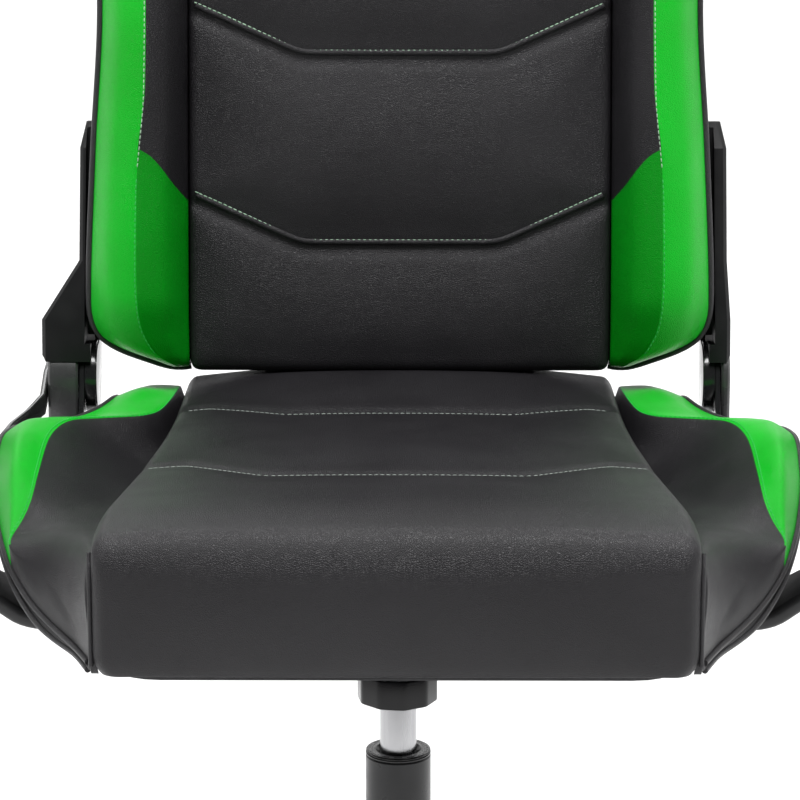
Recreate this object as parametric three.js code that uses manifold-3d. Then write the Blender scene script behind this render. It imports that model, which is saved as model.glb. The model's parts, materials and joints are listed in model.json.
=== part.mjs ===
// A racing-style swivel armchair: reclining back, winged seat, looped armrests,
// tilt mechanism, gas lift and a five-arm base on twin-wheel castors.
// Millimetres, +Z up. The chair faces -Y, so the sitter's left is +X.
import * as THREE from 'three';
import { mergeVertices } from 'three/addons/utils/BufferGeometryUtils.js';
import Module from 'manifold-3d';

const wasm = await Module();
wasm.setup();

// ---------------------------------------------------------------- driving dimensions
const GAP = 0.4; // running or assembly clearance between neighbouring pieces
const COLUMN_Y = -33; // column axis, ahead of the centre of the whole chair

const CASTOR_COUNT = 5;
const CASTOR_CIRCLE = 310; // radius from the column axis to a castor stem
const CASTOR_TRAIL = 22; // from the stem axis back to the axle
const WHEEL_SIDES = 16; // each wheel stands on one of its flats
const WHEEL_FLAT = 30; // axle height, from the axle to the flat
const WHEEL_RADIUS = WHEEL_FLAT / Math.cos(Math.PI / WHEEL_SIDES);
const WHEEL_INNER_X = 10.8;
const WHEEL_OUTER_X = 28.5;
const AXLE_RADIUS = 3.5;
const STEM_RADIUS = 5.5;
const STEM_BORE = 6.1;
const HOOD_RADIUS = 35;

const COLUMN_RADIUS = 25;
const COLUMN_BORE = 22.5;
const COLUMN_BOTTOM = 60;
const COLUMN_TOP = 306;
const BUSH_TOP = 310;
const CYLINDER_RADIUS = 14;
const CYLINDER_BOTTOM = 150;
const CYLINDER_TOP = 404;
const ROD_RADIUS = 5;
const RELEASE_PIN_RADIUS = 4;

const TILT_PIVOT = { y: -55, z: 425 };
const TILT_PIN_RADIUS = 5;
const KNOB_Y = -115; // tension screw axis
const KNOB_RADIUS = 30;
const KNOB_BOTTOM = 391;
const KNOB_TOP = 413;
const SCREW_RADIUS = 5;
const SPRING_RADIUS = 16; // to the middle of the wire
const HOUSING_HALF_WIDTH = 34;
const SHEET = 3; // pressed steel of the mechanism
const LEVER_Z = 416.5;
const LEVER_RADIUS = 4;
const SLEEVE_RADIUS = 8;
const HANDLE = { y: 76, z: 390 }; // outer run of the height lever

const PLATE_BOTTOM = 442; // mechanism's top plate, bolted under the seat board
const PLATE_TOP = 446;
const BOARD_BOTTOM = 446.5;
const BOARD_TOP = 456.5;
const SEAT_BOTTOM = 457;

const BACK_PIVOT = { y: 235, z: 545 };
const BACK_LEAN = 9; // degrees behind the vertical at rest
const PAD_FRONT = -37;
const PAD_BACK = 8.2;
const SHELL_FRONT = 8.6;
const SHELL_BACK = 42;
const HINGE_RADIUS = 33; // round top of the lower hinge cover
const HINGE_X = { arm: 244.5, bracket: 254.3, cover: 258.6 }; // inner face of each layer
const HINGE_STEEL = 4;
const HINGE_PIN_RADIUS = 9;

const HARNESS = { x: 80, s: 608, halfWidth: 38, halfHeight: 19, slant: 0.2 }; // s is above the hinge

const ARM_X = 336; // middle plane of an armrest loop
const ARM_THICKNESS = 26;
const ARM_TOP = 704;
const BRACKET_TOP = BOARD_BOTTOM - GAP; // armrest feet bolt up under the seat board

// [distance, value] pairs, joined by straight lines
const SEAT_HALF_WIDTH = [[-270, 206], [-250, 211.5], [-205, 210.5], [-60, 192.5], [30, 183.5], [120, 177],
  [243, 173]];
const SEAT_TOP = [[-270, 540], [-262, 556], [-240, 565], [-205, 564], [-60, 556], [120, 550], [225, 548],
  [243, 546]];
const WING_OUTER = [[-262, 214], [-220, 228], [-180, 254], [-120, 284], [-50, 302], [30, 305], [100, 299],
  [140, 284], [165, 250], [190, 232], [225, 224]];
const WING_CREST = [[-262, 498], [-220, 516], [-180, 534], [-120, 554], [-50, 566], [30, 566], [70, 562],
  [100, 555], [130, 549], [165, 548], [200, 547], [225, 541]];
const BACK_HALF_WIDTH = [[10, 190], [16, 205], [24, 228], [38, 248.5], [59, 252.5], [180, 247], [302, 241],
  [370, 244], [440, 264], [490, 281], [520, 284], [550, 270], [590, 220], [630, 193], [690, 182], [725, 166],
  [744, 130], [750, 100]];
const BACK_PAD_HALF = [[10, 160], [30, 167], [60, 169], [520, 169], [560, 158], [600, 146], [650, 138],
  [720, 122], [744, 90], [750, 70]];
const BACK_STATIONS = [10, 18, 30, 38, 60, 180, 302, 370, 440, 490, 520, 560, 600, 650, 690, 720, 744, 750];
const BOLSTER_CREST = [[10, 40], [35, 62], [70, 76], [500, 80], [600, 64], [700, 50], [750, 38]];

// ---------------------------------------------------------------- materials
function finish(color, roughness, metalness = 0) {
  return new THREE.MeshStandardMaterial({ color, roughness, metalness });
}
const blackLeather = finish(0x28272a, 0.5);
const greenLeather = finish(0x06a532, 0.45);
const blackPlastic = finish(0x18181a, 0.45);
const blackSteel = finish(0x141416, 0.3, 0.6);
const chrome = finish(0xd5d7da, 0.12, 1);
const springSteel = finish(0x8a8c90, 0.35, 0.9);
const wheelNylon = finish(0x1c1c1e, 0.6);
const board = finish(0x303032, 0.8);

// ---------------------------------------------------------------- shape helpers
function toVector2(point) {
  return new THREE.Vector2(...point);
}

function toSolid(geometry) {
  const bare = geometry.clone();
  bare.deleteAttribute('normal');
  bare.deleteAttribute('uv');
  const merged = mergeVertices(bare);
  const vertProperties = new Float32Array(merged.attributes.position.array);
  const triVerts = new Uint32Array(merged.index.array);
  return new wasm.Manifold(new wasm.Mesh({ numProp: 3, vertProperties, triVerts }));
}

function toGeometry(solid) {
  const mesh = solid.getMesh();
  const geometry = new THREE.BufferGeometry();
  geometry.setAttribute('position', new THREE.BufferAttribute(mesh.vertProperties, 3));
  geometry.setIndex(new THREE.BufferAttribute(mesh.triVerts, 1));
  return geometry;
}

function join(...geometries) {
  return toGeometry(geometries.map(toSolid).reduce((whole, piece) => whole.add(piece)));
}

function cut(geometry, ...tools) {
  return toGeometry(tools.map(toSolid).reduce((rest, tool) => rest.subtract(tool), toSolid(geometry)));
}

// Value of a table of [distance, value] pairs.
function along(table, distance) {
  const last = table.length - 1;
  if (distance <= table[0][0]) return table[0][1];
  for (let i = 0; i < last; i += 1) {
    const [d0, v0] = table[i];
    const [d1, v1] = table[i + 1];
    if (distance <= d1) return v0 + ((v1 - v0) * (distance - d0)) / (d1 - d0);
  }
  return table[last][1];
}

function flipFaces(geometry) {
  const index = geometry.index.array;
  for (let i = 0; i < index.length; i += 3) [index[i], index[i + 1]] = [index[i + 1], index[i]];
  return geometry;
}

function mirrored(geometry) {
  const copy = mergeVertices(geometry.clone());
  copy.deleteAttribute('normal');
  return flipFaces(copy.scale(-1, 1, 1));
}

// Closed skin over rings of points that all have the same count.
function loft(rings) {
  const count = rings[0].length;
  const positions = rings.flat();
  const index = [];
  for (let r = 0; r + 1 < rings.length; r += 1) {
    for (let i = 0; i < count; i += 1) {
      const a = r * count + i;
      const b = r * count + ((i + 1) % count);
      index.push(a, b, b + count, a, b + count, a + count);
    }
  }
  const ends = [[rings[0], 0, false], [rings.at(-1), (rings.length - 1) * count, true]];
  for (const [ring, first, forward] of ends) {
    const middle = [0, 1, 2].map((axis) => ring.reduce((sum, point) => sum + point[axis], 0) / count);
    positions.push(middle);
    for (let i = 0; i < count; i += 1) {
      const a = first + i;
      const b = first + ((i + 1) % count);
      index.push(...(forward ? [a, b, positions.length - 1] : [b, a, positions.length - 1]));
    }
  }
  const geometry = new THREE.BufferGeometry();
  geometry.setAttribute('position', new THREE.Float32BufferAttribute(positions.flat(), 3));
  geometry.setIndex(index);
  return signedVolume(geometry) < 0 ? flipFaces(geometry) : geometry;
}

function signedVolume(geometry) {
  const points = geometry.attributes.position;
  const corner = [new THREE.Vector3(), new THREE.Vector3(), new THREE.Vector3()];
  let volume = 0;
  for (let i = 0; i < geometry.index.count; i += 3) {
    corner.forEach((vertex, k) => vertex.fromBufferAttribute(points, geometry.index.getX(i + k)));
    volume += corner[0].dot(corner[1].cross(corner[2]));
  }
  return volume;
}

// Solid of revolution about Z from [radius, z] points.
function turned(profile, sides = 24) {
  const points = profile.map(([radius, z]) => new THREE.Vector2(radius, z));
  return new THREE.LatheGeometry(points, sides).rotateX(Math.PI / 2);
}

function rod(radius, z0, z1, sides = 16) {
  return turned([[0, z0], [radius, z0], [radius, z1], [0, z1]], sides);
}

function tube(inner, outer, z0, z1, sides = 20) {
  return turned([[inner, z0], [outer, z0], [outer, z1], [inner, z1], [inner, z0]], sides);
}

// Turns a piece built about Z so that it lies along X.
function alongX(geometry, y = 0, z = 0) {
  return geometry.rotateY(Math.PI / 2).translate(0, y, z);
}

// Outline with its corners rounded.
function rounded(points, radius) {
  const shape = new THREE.Shape();
  points.forEach((point, i) => {
    const here = new THREE.Vector2(...point);
    const before = new THREE.Vector2(...points.at(i - 1));
    const after = new THREE.Vector2(...points[(i + 1) % points.length]);
    const reach = Math.min(radius, here.distanceTo(before) / 2.05, here.distanceTo(after) / 2.05);
    const start = before.sub(here).setLength(reach).add(here);
    const end = after.sub(here).setLength(reach).add(here);
    if (i === 0) shape.moveTo(start.x, start.y);
    else shape.lineTo(start.x, start.y);
    shape.quadraticCurveTo(here.x, here.y, end.x, end.y);
  });
  shape.closePath();
  return shape;
}

function slab(shape, z0, z1, bevel = 0, curveSegments = 4) {
  const depth = z1 - z0 - 2 * bevel;
  const settings = { depth, curveSegments, bevelEnabled: bevel > 0, bevelSegments: 1 };
  Object.assign(settings, { bevelThickness: bevel, bevelSize: bevel, bevelOffset: -bevel });
  return new THREE.ExtrudeGeometry(shape, settings).translate(0, 0, z0 + bevel);
}

// Side plate: an outline in Y and Z, from x0 to x1.
function sidePlate(shape, x0, x1, bevel = 0, curveSegments = 4) {
  const toSide = new THREE.Matrix4().makeBasis(
    new THREE.Vector3(0, 1, 0),
    new THREE.Vector3(0, 0, 1),
    new THREE.Vector3(1, 0, 0),
  );
  return slab(shape, x0, x1, bevel, curveSegments).applyMatrix4(toSide);
}

// Front plate: an outline in X and Z, from y0 to y1.
function frontPlate(shape, y0, y1, bevel = 0, curveSegments = 4) {
  return slab(shape, -y1, -y0, bevel, curveSegments).rotateX(Math.PI / 2);
}

function box(x0, x1, y0, y1, z0, z1) {
  const geometry = new THREE.BoxGeometry(x1 - x0, y1 - y0, z1 - z0);
  return geometry.translate((x0 + x1) / 2, (y0 + y1) / 2, (z0 + z1) / 2);
}

function part(parent, name, geometry, material) {
  const mesh = new THREE.Mesh(geometry, material);
  mesh.name = name;
  parent.add(mesh);
  return mesh;
}

// ---------------------------------------------------------------- base and castors
function starArm(angle) {
  const sections = [
    { reach: 30, low: 70, high: 114, half: 25 },
    { reach: 110, low: 76, high: 109, half: 21 },
    { reach: 300, low: 71, high: 90, half: 17 },
    { reach: 326, low: 73, high: 86, half: 10 },
  ];
  const rings = sections.map(({ reach, low, high, half }) => [
    [reach, -half, low], [reach, half, low], [reach, half, high - 7], [reach, half * 0.6, high],
    [reach, -half * 0.6, high], [reach, -half, high - 7],
  ]);
  return loft(rings).rotateZ(angle);
}

function castorAngle(i) {
  return -Math.PI / 2 + (2 * Math.PI * i) / CASTOR_COUNT;
}

function baseStar() {
  const hub = turned([[0, 64], [40, 64], [44, 72], [42, 100], [36, 117], [32, 120], [0, 120]], 24);
  const arms = [];
  const bosses = [];
  const sockets = [];
  for (let i = 0; i < CASTOR_COUNT; i += 1) {
    const angle = castorAngle(i);
    const x = CASTOR_CIRCLE * Math.cos(angle);
    const y = CASTOR_CIRCLE * Math.sin(angle);
    arms.push(starArm(angle));
    bosses.push(rod(15, 67, 84, 12).translate(x, y, 0));
    sockets.push(rod(STEM_BORE, 60, 86, 10).translate(x, y, 0));
  }
  const bore = rod(COLUMN_RADIUS + GAP + 0.2, 50, 130, 24);
  return cut(join(hub, ...arms, ...bosses), bore, ...sockets);
}

function castorStem() {
  return turned([[0, 45], [STEM_RADIUS, 45], [STEM_RADIUS, 64.4], [8.5, 64.4], [8.5, 66.6],
    [STEM_RADIUS, 66.6], [STEM_RADIUS, 85], [0, 85]], 10);
}

function castorHousing() {
  const inner = HOOD_RADIUS - 3;
  const hood = new THREE.Shape();
  hood.absarc(CASTOR_TRAIL, WHEEL_FLAT, HOOD_RADIUS, -0.15, Math.PI * 0.97, false);
  hood.absarc(CASTOR_TRAIL, WHEEL_FLAT, inner, Math.PI * 0.97, -0.15, true);
  const web = new THREE.Shape();
  web.absarc(CASTOR_TRAIL, WHEEL_FLAT, HOOD_RADIUS - 1, -0.35, Math.PI * 1.05, false);
  web.lineTo(CASTOR_TRAIL - 8, 18);
  web.lineTo(CASTOR_TRAIL + 8, 18);
  const cover = sidePlate(hood, -WHEEL_OUTER_X - 1, WHEEL_OUTER_X + 1, 0, 7);
  const middle = sidePlate(web, -8, 8, 0, 5);
  const boss = rod(9.6, 38, 64, 10);
  const axle = alongX(rod(AXLE_RADIUS, -24, 24, 8), CASTOR_TRAIL, WHEEL_FLAT);
  return cut(join(cover, middle, boss, axle), rod(STEM_BORE, 44, 70, 10));
}

function castorWheel(side) {
  const bore = AXLE_RADIUS + GAP;
  const profile = [[bore, WHEEL_INNER_X], [WHEEL_RADIUS, WHEEL_INNER_X], [WHEEL_RADIUS, 25],
    [27, WHEEL_OUTER_X], [bore, WHEEL_OUTER_X], [bore, WHEEL_INNER_X]];
  const halfSide = Math.PI / WHEEL_SIDES;
  const wheel = alongX(turned(profile, WHEEL_SIDES).rotateZ(halfSide), CASTOR_TRAIL, WHEEL_FLAT);
  return side > 0 ? wheel : mirrored(wheel);
}

function addBase(chair) {
  part(chair, 'base_star', baseStar(), blackPlastic);
  for (let i = 0; i < CASTOR_COUNT; i += 1) {
    const castor = new THREE.Group();
    const angle = castorAngle(i);
    castor.position.set(CASTOR_CIRCLE * Math.cos(angle), CASTOR_CIRCLE * Math.sin(angle), 0);
    chair.add(castor);
    part(castor, `castor_${i + 1}_stem`, castorStem(), chrome);
    part(castor, `castor_${i + 1}_housing`, castorHousing(), blackPlastic);
    part(castor, `castor_${i + 1}_wheel_left`, castorWheel(1), wheelNylon);
    part(castor, `castor_${i + 1}_wheel_right`, castorWheel(-1), wheelNylon);
  }
}

// ---------------------------------------------------------------- gas lift
function gasColumn() {
  const foot = ROD_RADIUS + GAP;
  const floor = COLUMN_BOTTOM + 4;
  return turned([[foot, COLUMN_BOTTOM], [COLUMN_RADIUS - 1, COLUMN_BOTTOM],
    [COLUMN_RADIUS, COLUMN_BOTTOM + 2], [COLUMN_RADIUS, COLUMN_TOP], [COLUMN_BORE, COLUMN_TOP],
    [COLUMN_BORE, floor], [foot, floor], [foot, COLUMN_BOTTOM]], 24);
}

function guideBush() {
  const inner = CYLINDER_RADIUS + GAP;
  const sleeve = COLUMN_BORE - GAP;
  const flange = COLUMN_TOP + GAP;
  return turned([[inner, 230], [sleeve, 230], [sleeve, flange], [COLUMN_RADIUS, flange],
    [COLUMN_RADIUS, BUSH_TOP - 1], [COLUMN_RADIUS - 1, BUSH_TOP], [inner + 3, BUSH_TOP],
    [inner, BUSH_TOP - 3], [inner, 230]], 24);
}

function pistonRod() {
  const head = COLUMN_BOTTOM - GAP;
  return turned([[0, head - 6], [8, head - 6], [9, head - 5], [9, head], [ROD_RADIUS, head],
    [ROD_RADIUS, 250], [0, 250]], 12);
}

function gasCylinder() {
  const body = turned([[0, CYLINDER_BOTTOM], [CYLINDER_RADIUS, CYLINDER_BOTTOM],
    [CYLINDER_RADIUS, CYLINDER_TOP - 3], [CYLINDER_RADIUS - 2, CYLINDER_TOP], [0, CYLINDER_TOP]], 24);
  const rodBore = rod(ROD_RADIUS + GAP + 0.2, CYLINDER_BOTTOM - 5, 285, 12);
  const pinBore = rod(RELEASE_PIN_RADIUS + GAP, 393, CYLINDER_TOP + 5, 12);
  return cut(body, rodBore, pinBore);
}

function releasePin() {
  return rod(RELEASE_PIN_RADIUS, 399, 412, 12);
}

function addGasLift(chair) {
  part(chair, 'gas_column', gasColumn(), blackSteel);
  part(chair, 'column_guide_bush', guideBush(), blackPlastic);
  part(chair, 'piston_rod', pistonRod(), springSteel);
  part(chair, 'gas_cylinder', gasCylinder(), chrome);
  part(chair, 'release_pin', releasePin(), springSteel);
}

// ---------------------------------------------------------------- tilt mechanism
function mechanismHousing() {
  const side = [[45, 402], [-45, 402], [-90, 430.5], [-140, 430.5], [-140, 437.5], [-50, 437.5],
    [45, 416.5]];
  const hollow = [[42, 405], [-43, 405], [-88.5, 433.5], [-137, 433.5], [-137, 450], [42, 450]];
  const outer = sidePlate(rounded(side, 2), -HOUSING_HALF_WIDTH, HOUSING_HALF_WIDTH, 0, 1);
  const inside = HOUSING_HALF_WIDTH - SHEET;
  const cavity = sidePlate(rounded(hollow, 1), -inside, inside, 0, 1);
  const hub = rod(22, 372, 405, 24);
  const shell = join(cut(outer, cavity), hub);
  const cylinderBore = rod(CYLINDER_RADIUS + GAP, 360, 410, 24);
  const boltHole = rod(9, 425, 440, 12).translate(0, KNOB_Y, 0);
  const pinHoles = alongX(rod(TILT_PIN_RADIUS + GAP, -50, 50, 12), TILT_PIVOT.y, TILT_PIVOT.z);
  const leverHole = alongX(rod(SLEEVE_RADIUS + GAP, -50, -25, 16), 0, LEVER_Z);
  return cut(shell, cylinderBore, boltHole, pinHoles, leverHole);
}

function seatPlate() {
  const corners = [[-100, -140], [100, -140], [100, 95], [-100, 95]];
  const plate = slab(rounded(corners, 18), PLATE_BOTTOM, PLATE_TOP);
  const cheekOutline = rounded([[-75, 412], [-35, 412], [-25, 443], [-85, 443]], 8);
  const cheekInner = HOUSING_HALF_WIDTH + 1.5;
  const cheeks = [1, -1].map((side) => {
    const cheek = sidePlate(cheekOutline, cheekInner, cheekInner + SHEET + 1);
    return side > 0 ? cheek : mirrored(cheek);
  });
  const pinHoles = alongX(rod(TILT_PIN_RADIUS + GAP, -50, 50, 12), TILT_PIVOT.y, TILT_PIVOT.z);
  const boltHole = rod(SCREW_RADIUS + GAP, 435, 450, 12).translate(0, KNOB_Y, 0);
  return cut(join(plate, ...cheeks), pinHoles, boltHole);
}

function pivotPin() {
  const shaft = TILT_PIN_RADIUS;
  const pin = turned([[0, -43], [8, -43], [8, -40.4], [shaft, -40.4], [shaft, 42], [0, 42]], 12);
  return alongX(pin, TILT_PIVOT.y, TILT_PIVOT.z);
}

// The screw hangs from the top plate: its collar bears on the plate's underside.
function tensionScrew() {
  const tip = KNOB_BOTTOM - 2.5;
  const collar = PLATE_BOTTOM - GAP;
  const end = PLATE_TOP - 0.2;
  return turned([[0, tip], [SCREW_RADIUS, tip], [SCREW_RADIUS, collar - 3], [9, collar - 3], [9, collar],
    [SCREW_RADIUS, collar], [SCREW_RADIUS, end], [0, end]], 12).translate(0, KNOB_Y, 0);
}

// Ten-sided grip with softened corners.
function tensionKnob() {
  const sides = 10;
  const turnedBy = THREE.MathUtils.degToRad(10);
  const corners = [];
  for (let i = 0; i < sides; i += 1) {
    const angle = (2 * Math.PI * i) / sides - Math.PI / 2 + turnedBy;
    corners.push([KNOB_RADIUS * Math.cos(angle), KNOB_RADIUS * Math.sin(angle)]);
  }
  const outline = rounded(corners, 2);
  const grip = slab(outline, KNOB_BOTTOM, KNOB_TOP, 1);
  const well = rod(KNOB_RADIUS - 7, KNOB_BOTTOM + 4, KNOB_TOP + 5, 20);
  const thread = rod(SCREW_RADIUS + GAP, KNOB_BOTTOM - 5, KNOB_TOP, 12);
  return cut(grip, well, thread).translate(0, KNOB_Y, 0);
}

function springWasher() {
  const wellFloor = KNOB_BOTTOM + 4;
  return tube(SCREW_RADIUS + GAP, 21, wellFloor + GAP, wellFloor + 2.8, 16).translate(0, KNOB_Y, 0);
}

function tiltSpring() {
  const wire = new THREE.Shape();
  wire.absarc(0, 0, 1.9, 0, 2 * Math.PI);
  const turns = 4.5;
  const low = KNOB_BOTTOM + 9.2;
  const high = 428;
  class Helix extends THREE.Curve {
    getPoint(t) {
      const angle = 2 * Math.PI * turns * t;
      const x = SPRING_RADIUS * Math.cos(angle);
      const y = KNOB_Y + SPRING_RADIUS * Math.sin(angle);
      return new THREE.Vector3(x, y, low + (high - low) * t);
    }
  }
  return new THREE.ExtrudeGeometry(wire, { steps: 36, curveSegments: 3, extrudePath: new Helix() });
}

function lockSleeve() {
  return alongX(tube(6, SLEEVE_RADIUS, -50, -18, 16), 0, LEVER_Z);
}

// The lever crosses the release pin, leaves through the sleeve and cranks down and back.
function leverRod() {
  const wire = new THREE.Shape();
  wire.absarc(0, 0, LEVER_RADIUS, 0, 2 * Math.PI);
  const [tip, elbow, crank, end] = [[6, 0, LEVER_Z], [-66, 0, LEVER_Z], [-108, HANDLE.y, HANDLE.z],
    [-206, HANDLE.y, HANDLE.z]].map((point) => new THREE.Vector3(...point));
  const between = (from, to, share) => from.clone().lerp(to, share);
  const path = new THREE.CurvePath();
  path.add(new THREE.LineCurve3(tip, between(elbow, tip, 0.15)));
  path.add(new THREE.QuadraticBezierCurve3(between(elbow, tip, 0.15), elbow, between(elbow, crank, 0.15)));
  path.add(new THREE.LineCurve3(between(elbow, crank, 0.15), between(crank, elbow, 0.15)));
  path.add(new THREE.QuadraticBezierCurve3(between(crank, elbow, 0.15), crank, between(crank, end, 0.12)));
  path.add(new THREE.LineCurve3(between(crank, end, 0.12), end));
  return new THREE.ExtrudeGeometry(wire, { steps: 24, curveSegments: 4, extrudePath: path });
}

function leverGrip() {
  const outline = rounded([[-182, -8], [-182, 8], [-212, 13], [-248, 12], [-248, -12], [-212, -13]], 6);
  const paddle = slab(outline, HANDLE.z - 6.5, HANDLE.z + 6.5, 2).translate(0, HANDLE.y, 0);
  return cut(paddle, alongX(rod(LEVER_RADIUS + GAP, -208, -170, 12), HANDLE.y, HANDLE.z));
}

function addMechanism(chair) {
  part(chair, 'mechanism_housing', mechanismHousing(), blackSteel);
  part(chair, 'seat_plate', seatPlate(), blackSteel);
  part(chair, 'tilt_pivot_pin', pivotPin(), springSteel);
  part(chair, 'tension_screw', tensionScrew(), springSteel);
  part(chair, 'tension_knob', tensionKnob(), blackPlastic);
  part(chair, 'spring_washer', springWasher(), springSteel);
  part(chair, 'tilt_spring', tiltSpring(), springSteel);
  part(chair, 'tilt_lock_sleeve', lockSleeve(), blackPlastic);
  part(chair, 'height_lever_rod', leverRod(), blackSteel);
  part(chair, 'height_lever_grip', leverGrip(), blackPlastic);
}

// ---------------------------------------------------------------- seat
function seatBoard() {
  const half = [[190, -238], [245, -120], [262, -60], [262, 60], [235, 140], [165, 216]];
  const outline = [...half, ...half.map(([x, y]) => [-x, y]).reverse()];
  return slab(rounded(outline, 25), BOARD_BOTTOM, BOARD_TOP);
}

function seatCushion() {
  const stations = [-270, -262, -250, -230, -205, -130, -60, 30, 120, 190, 225, 236, 243];
  const rings = stations.map((y) => {
    const half = along(SEAT_HALF_WIDTH, y) - 1;
    const top = along(SEAT_TOP, y);
    const tuck = y < -265 ? 14 : y > 240 ? 10 : 0;
    const low = SEAT_BOTTOM + (y < -265 ? 8 : 0);
    const edge = top - 14;
    return [[-half, y, low], [half, y, low], [half, y, edge], [half - 7, y, top - 4], [half * 0.75, y, top],
      [0, y, top + 1], [-half * 0.75, y, top], [7 - half, y, top - 4], [-half, y, edge]]
      .map(([x, yy, z]) => [x * (1 - tuck / 600), yy, z]);
  });
  return loft(rings);
}

// A wing lies against the cushion's side and rises to a crest near its outer edge.
function seatWing() {
  const stations = [-262, -250, -230, -205, -165, -120, -60, 30, 90, 120, 145, 165, 190, 225];
  const rings = stations.map((y) => {
    const inner = along(SEAT_HALF_WIDTH, y) + GAP;
    const outer = along(WING_OUTER, y);
    const crest = along(WING_CREST, y);
    const width = outer - inner;
    const seam = Math.min(along(SEAT_TOP, y) - 10, crest - 6);
    const section = [[0, SEAT_BOTTOM], [0.8, SEAT_BOTTOM], [0.93, SEAT_BOTTOM + 14], [1, crest - 45],
      [0.98, crest - 20], [0.84, crest - 4], [0.68, crest], [0.35, crest - 5], [0, seam]];
    return section.map(([share, z]) => [inner + width * share, y, z]);
  });
  return loft(rings);
}

function addSeat(chair) {
  part(chair, 'seat_board', seatBoard(), board);
  part(chair, 'seat_cushion', seatCushion(), blackLeather);
  const wing = seatWing();
  part(chair, 'seat_wing_left', wing, greenLeather);
  part(chair, 'seat_wing_right', mirrored(wing), greenLeather);
}

// ---------------------------------------------------------------- armrests
function armrestFrame() {
  const outline = [[-88, 438], [62, 438], [122, 560], [116, ARM_TOP], [-150, ARM_TOP], [-146, 560]];
  const window = [[-68, 466], [42, 466], [92, 566], [87, 678], [-120, 678], [-116, 566]];
  const loop = rounded(outline, 34);
  loop.holes.push(rounded(window, 28));
  const post = sidePlate(loop, ARM_X - ARM_THICKNESS / 2, ARM_X + ARM_THICKNESS / 2, 4, 3);
  const underside = [[240, 427], [264, 423], [283, 427], [300, 438], [314, 445], [330, 446]];
  const topside = [[310, 458], [296, 451.5], [279, 440.5], [262, 437.3], [244, 441]];
  const foot = new THREE.Shape();
  foot.moveTo(112, 434);
  foot.lineTo(212, 434);
  foot.splineThru(underside.map(toVector2));
  foot.lineTo(330, 460);
  foot.splineThru(topside.map(toVector2));
  foot.lineTo(222, BRACKET_TOP);
  foot.lineTo(112, BRACKET_TOP);
  const bracket = frontPlate(foot, -60, 0, 0, 3);
  return join(post, bracket);
}

function armPad() {
  const outline = rounded([[318, -160], [374, -160], [374, 118], [318, 118]], 20);
  return slab(outline, ARM_TOP + GAP, ARM_TOP + 26, 5, 4);
}

function addArmrests(chair) {
  const frame = armrestFrame();
  const pad = armPad();
  part(chair, 'armrest_left', frame, blackPlastic);
  part(chair, 'armrest_right', mirrored(frame), blackPlastic);
  part(chair, 'arm_pad_left', pad, blackPlastic);
  part(chair, 'arm_pad_right', mirrored(pad), blackPlastic);
}

// ---------------------------------------------------------------- recliner
function seatBracket() {
  const { y, z } = BACK_PIVOT;
  const plateOutline = new THREE.Shape();
  plateOutline.absarc(y, z, HINGE_RADIUS - 5, Math.PI * 0.1, Math.PI * 0.95, false);
  plateOutline.lineTo(y - 56, 470);
  plateOutline.lineTo(y - 62, 441);
  plateOutline.lineTo(y + 6, 441);
  plateOutline.lineTo(y + 22, 500);
  const x0 = HINGE_X.bracket;
  const plate = sidePlate(plateOutline, x0, x0 + HINGE_STEEL, 0, 8);
  const foot = box(140, x0 + 1, y - 62, y + 6, 441, 445.9);
  const bore = alongX(rod(HINGE_PIN_RADIUS + GAP, x0 - 20, x0 + 20, 16), y, z);
  return cut(join(plate, foot), bore);
}

// Steel arm of the back, with the recliner disc and its hub pin.
function backArm() {
  const x0 = HINGE_X.arm;
  const arm = new THREE.Shape();
  arm.absarc(0, 0, HINGE_RADIUS - 6, Math.PI * 0.62, Math.PI * 2.02, false);
  arm.lineTo(36, 60);
  arm.lineTo(34, 195);
  arm.lineTo(14, 195);
  arm.lineTo(10, 29);
  const plate = sidePlate(arm, x0, x0 + HINGE_STEEL, 0, 8);
  const plateDisc = alongX(rod(HINGE_RADIUS - 4, x0 + 1, HINGE_X.bracket - GAP, 24));
  const pin = alongX(rod(HINGE_PIN_RADIUS, x0 + 1, HINGE_X.cover, 16));
  return join(plate, plateDisc, pin);
}

// Lower cover: a cup on the seat bracket. Its rear stays round down to half past the
// horizontal, because the upper cover swings down behind it as the back reclines.
function lowerCover(outerX) {
  const { y, z } = BACK_PIVOT;
  const frontLow = z - 33;
  const bottom = z - 59;
  const cup = (inset) => {
    const shape = new THREE.Shape();
    shape.absarc(y, z, HINGE_RADIUS - inset, -Math.PI / 4, Math.PI, false);
    shape.lineTo(y - HINGE_RADIUS + inset, frontLow + inset);
    shape.lineTo(y - 22, bottom + inset);
    shape.lineTo(y + 12, bottom + inset);
    return shape;
  };
  const outer = sidePlate(cup(0), HINGE_X.cover + GAP, outerX, 2, 10);
  const hollow = sidePlate(cup(4), HINGE_X.cover - 5, outerX - 3, 0, 10);
  return cut(outer, hollow);
}

// Upper cover: sheath over the back's steel arm, hollowed round the hinge.
function upperCover(middleX, flareX) {
  const inner = HINGE_X.arm + HINGE_STEEL + GAP;
  const bolsterSide = 253.5;
  const stations = [
    { s: 10, outer: flareX, front: -31, rear: 27 },
    { s: 48, outer: flareX, front: -31, rear: 38 },
    { s: 95, outer: middleX, front: -20, rear: 40 },
    { s: 185, outer: middleX, front: -4, rear: 38 },
    { s: 206, outer: middleX - 4, front: 12, rear: 32 },
  ];
  const rings = stations.map(({ s, outer, front, rear }) => [
    [inner, front, s], [outer - 3, front, s], [outer, front + 3, s], [outer, rear - 3, s],
    [outer - 3, rear, s], [inner, rear, s],
  ]);
  const hinge = alongX(rod(HINGE_RADIUS + 1, 230, 300, 48));
  const cushionRoom = box(200, bolsterSide, -60, SHELL_FRONT, 28, 230);
  return cut(loft(rings), hinge, cushionRoom);
}

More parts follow.
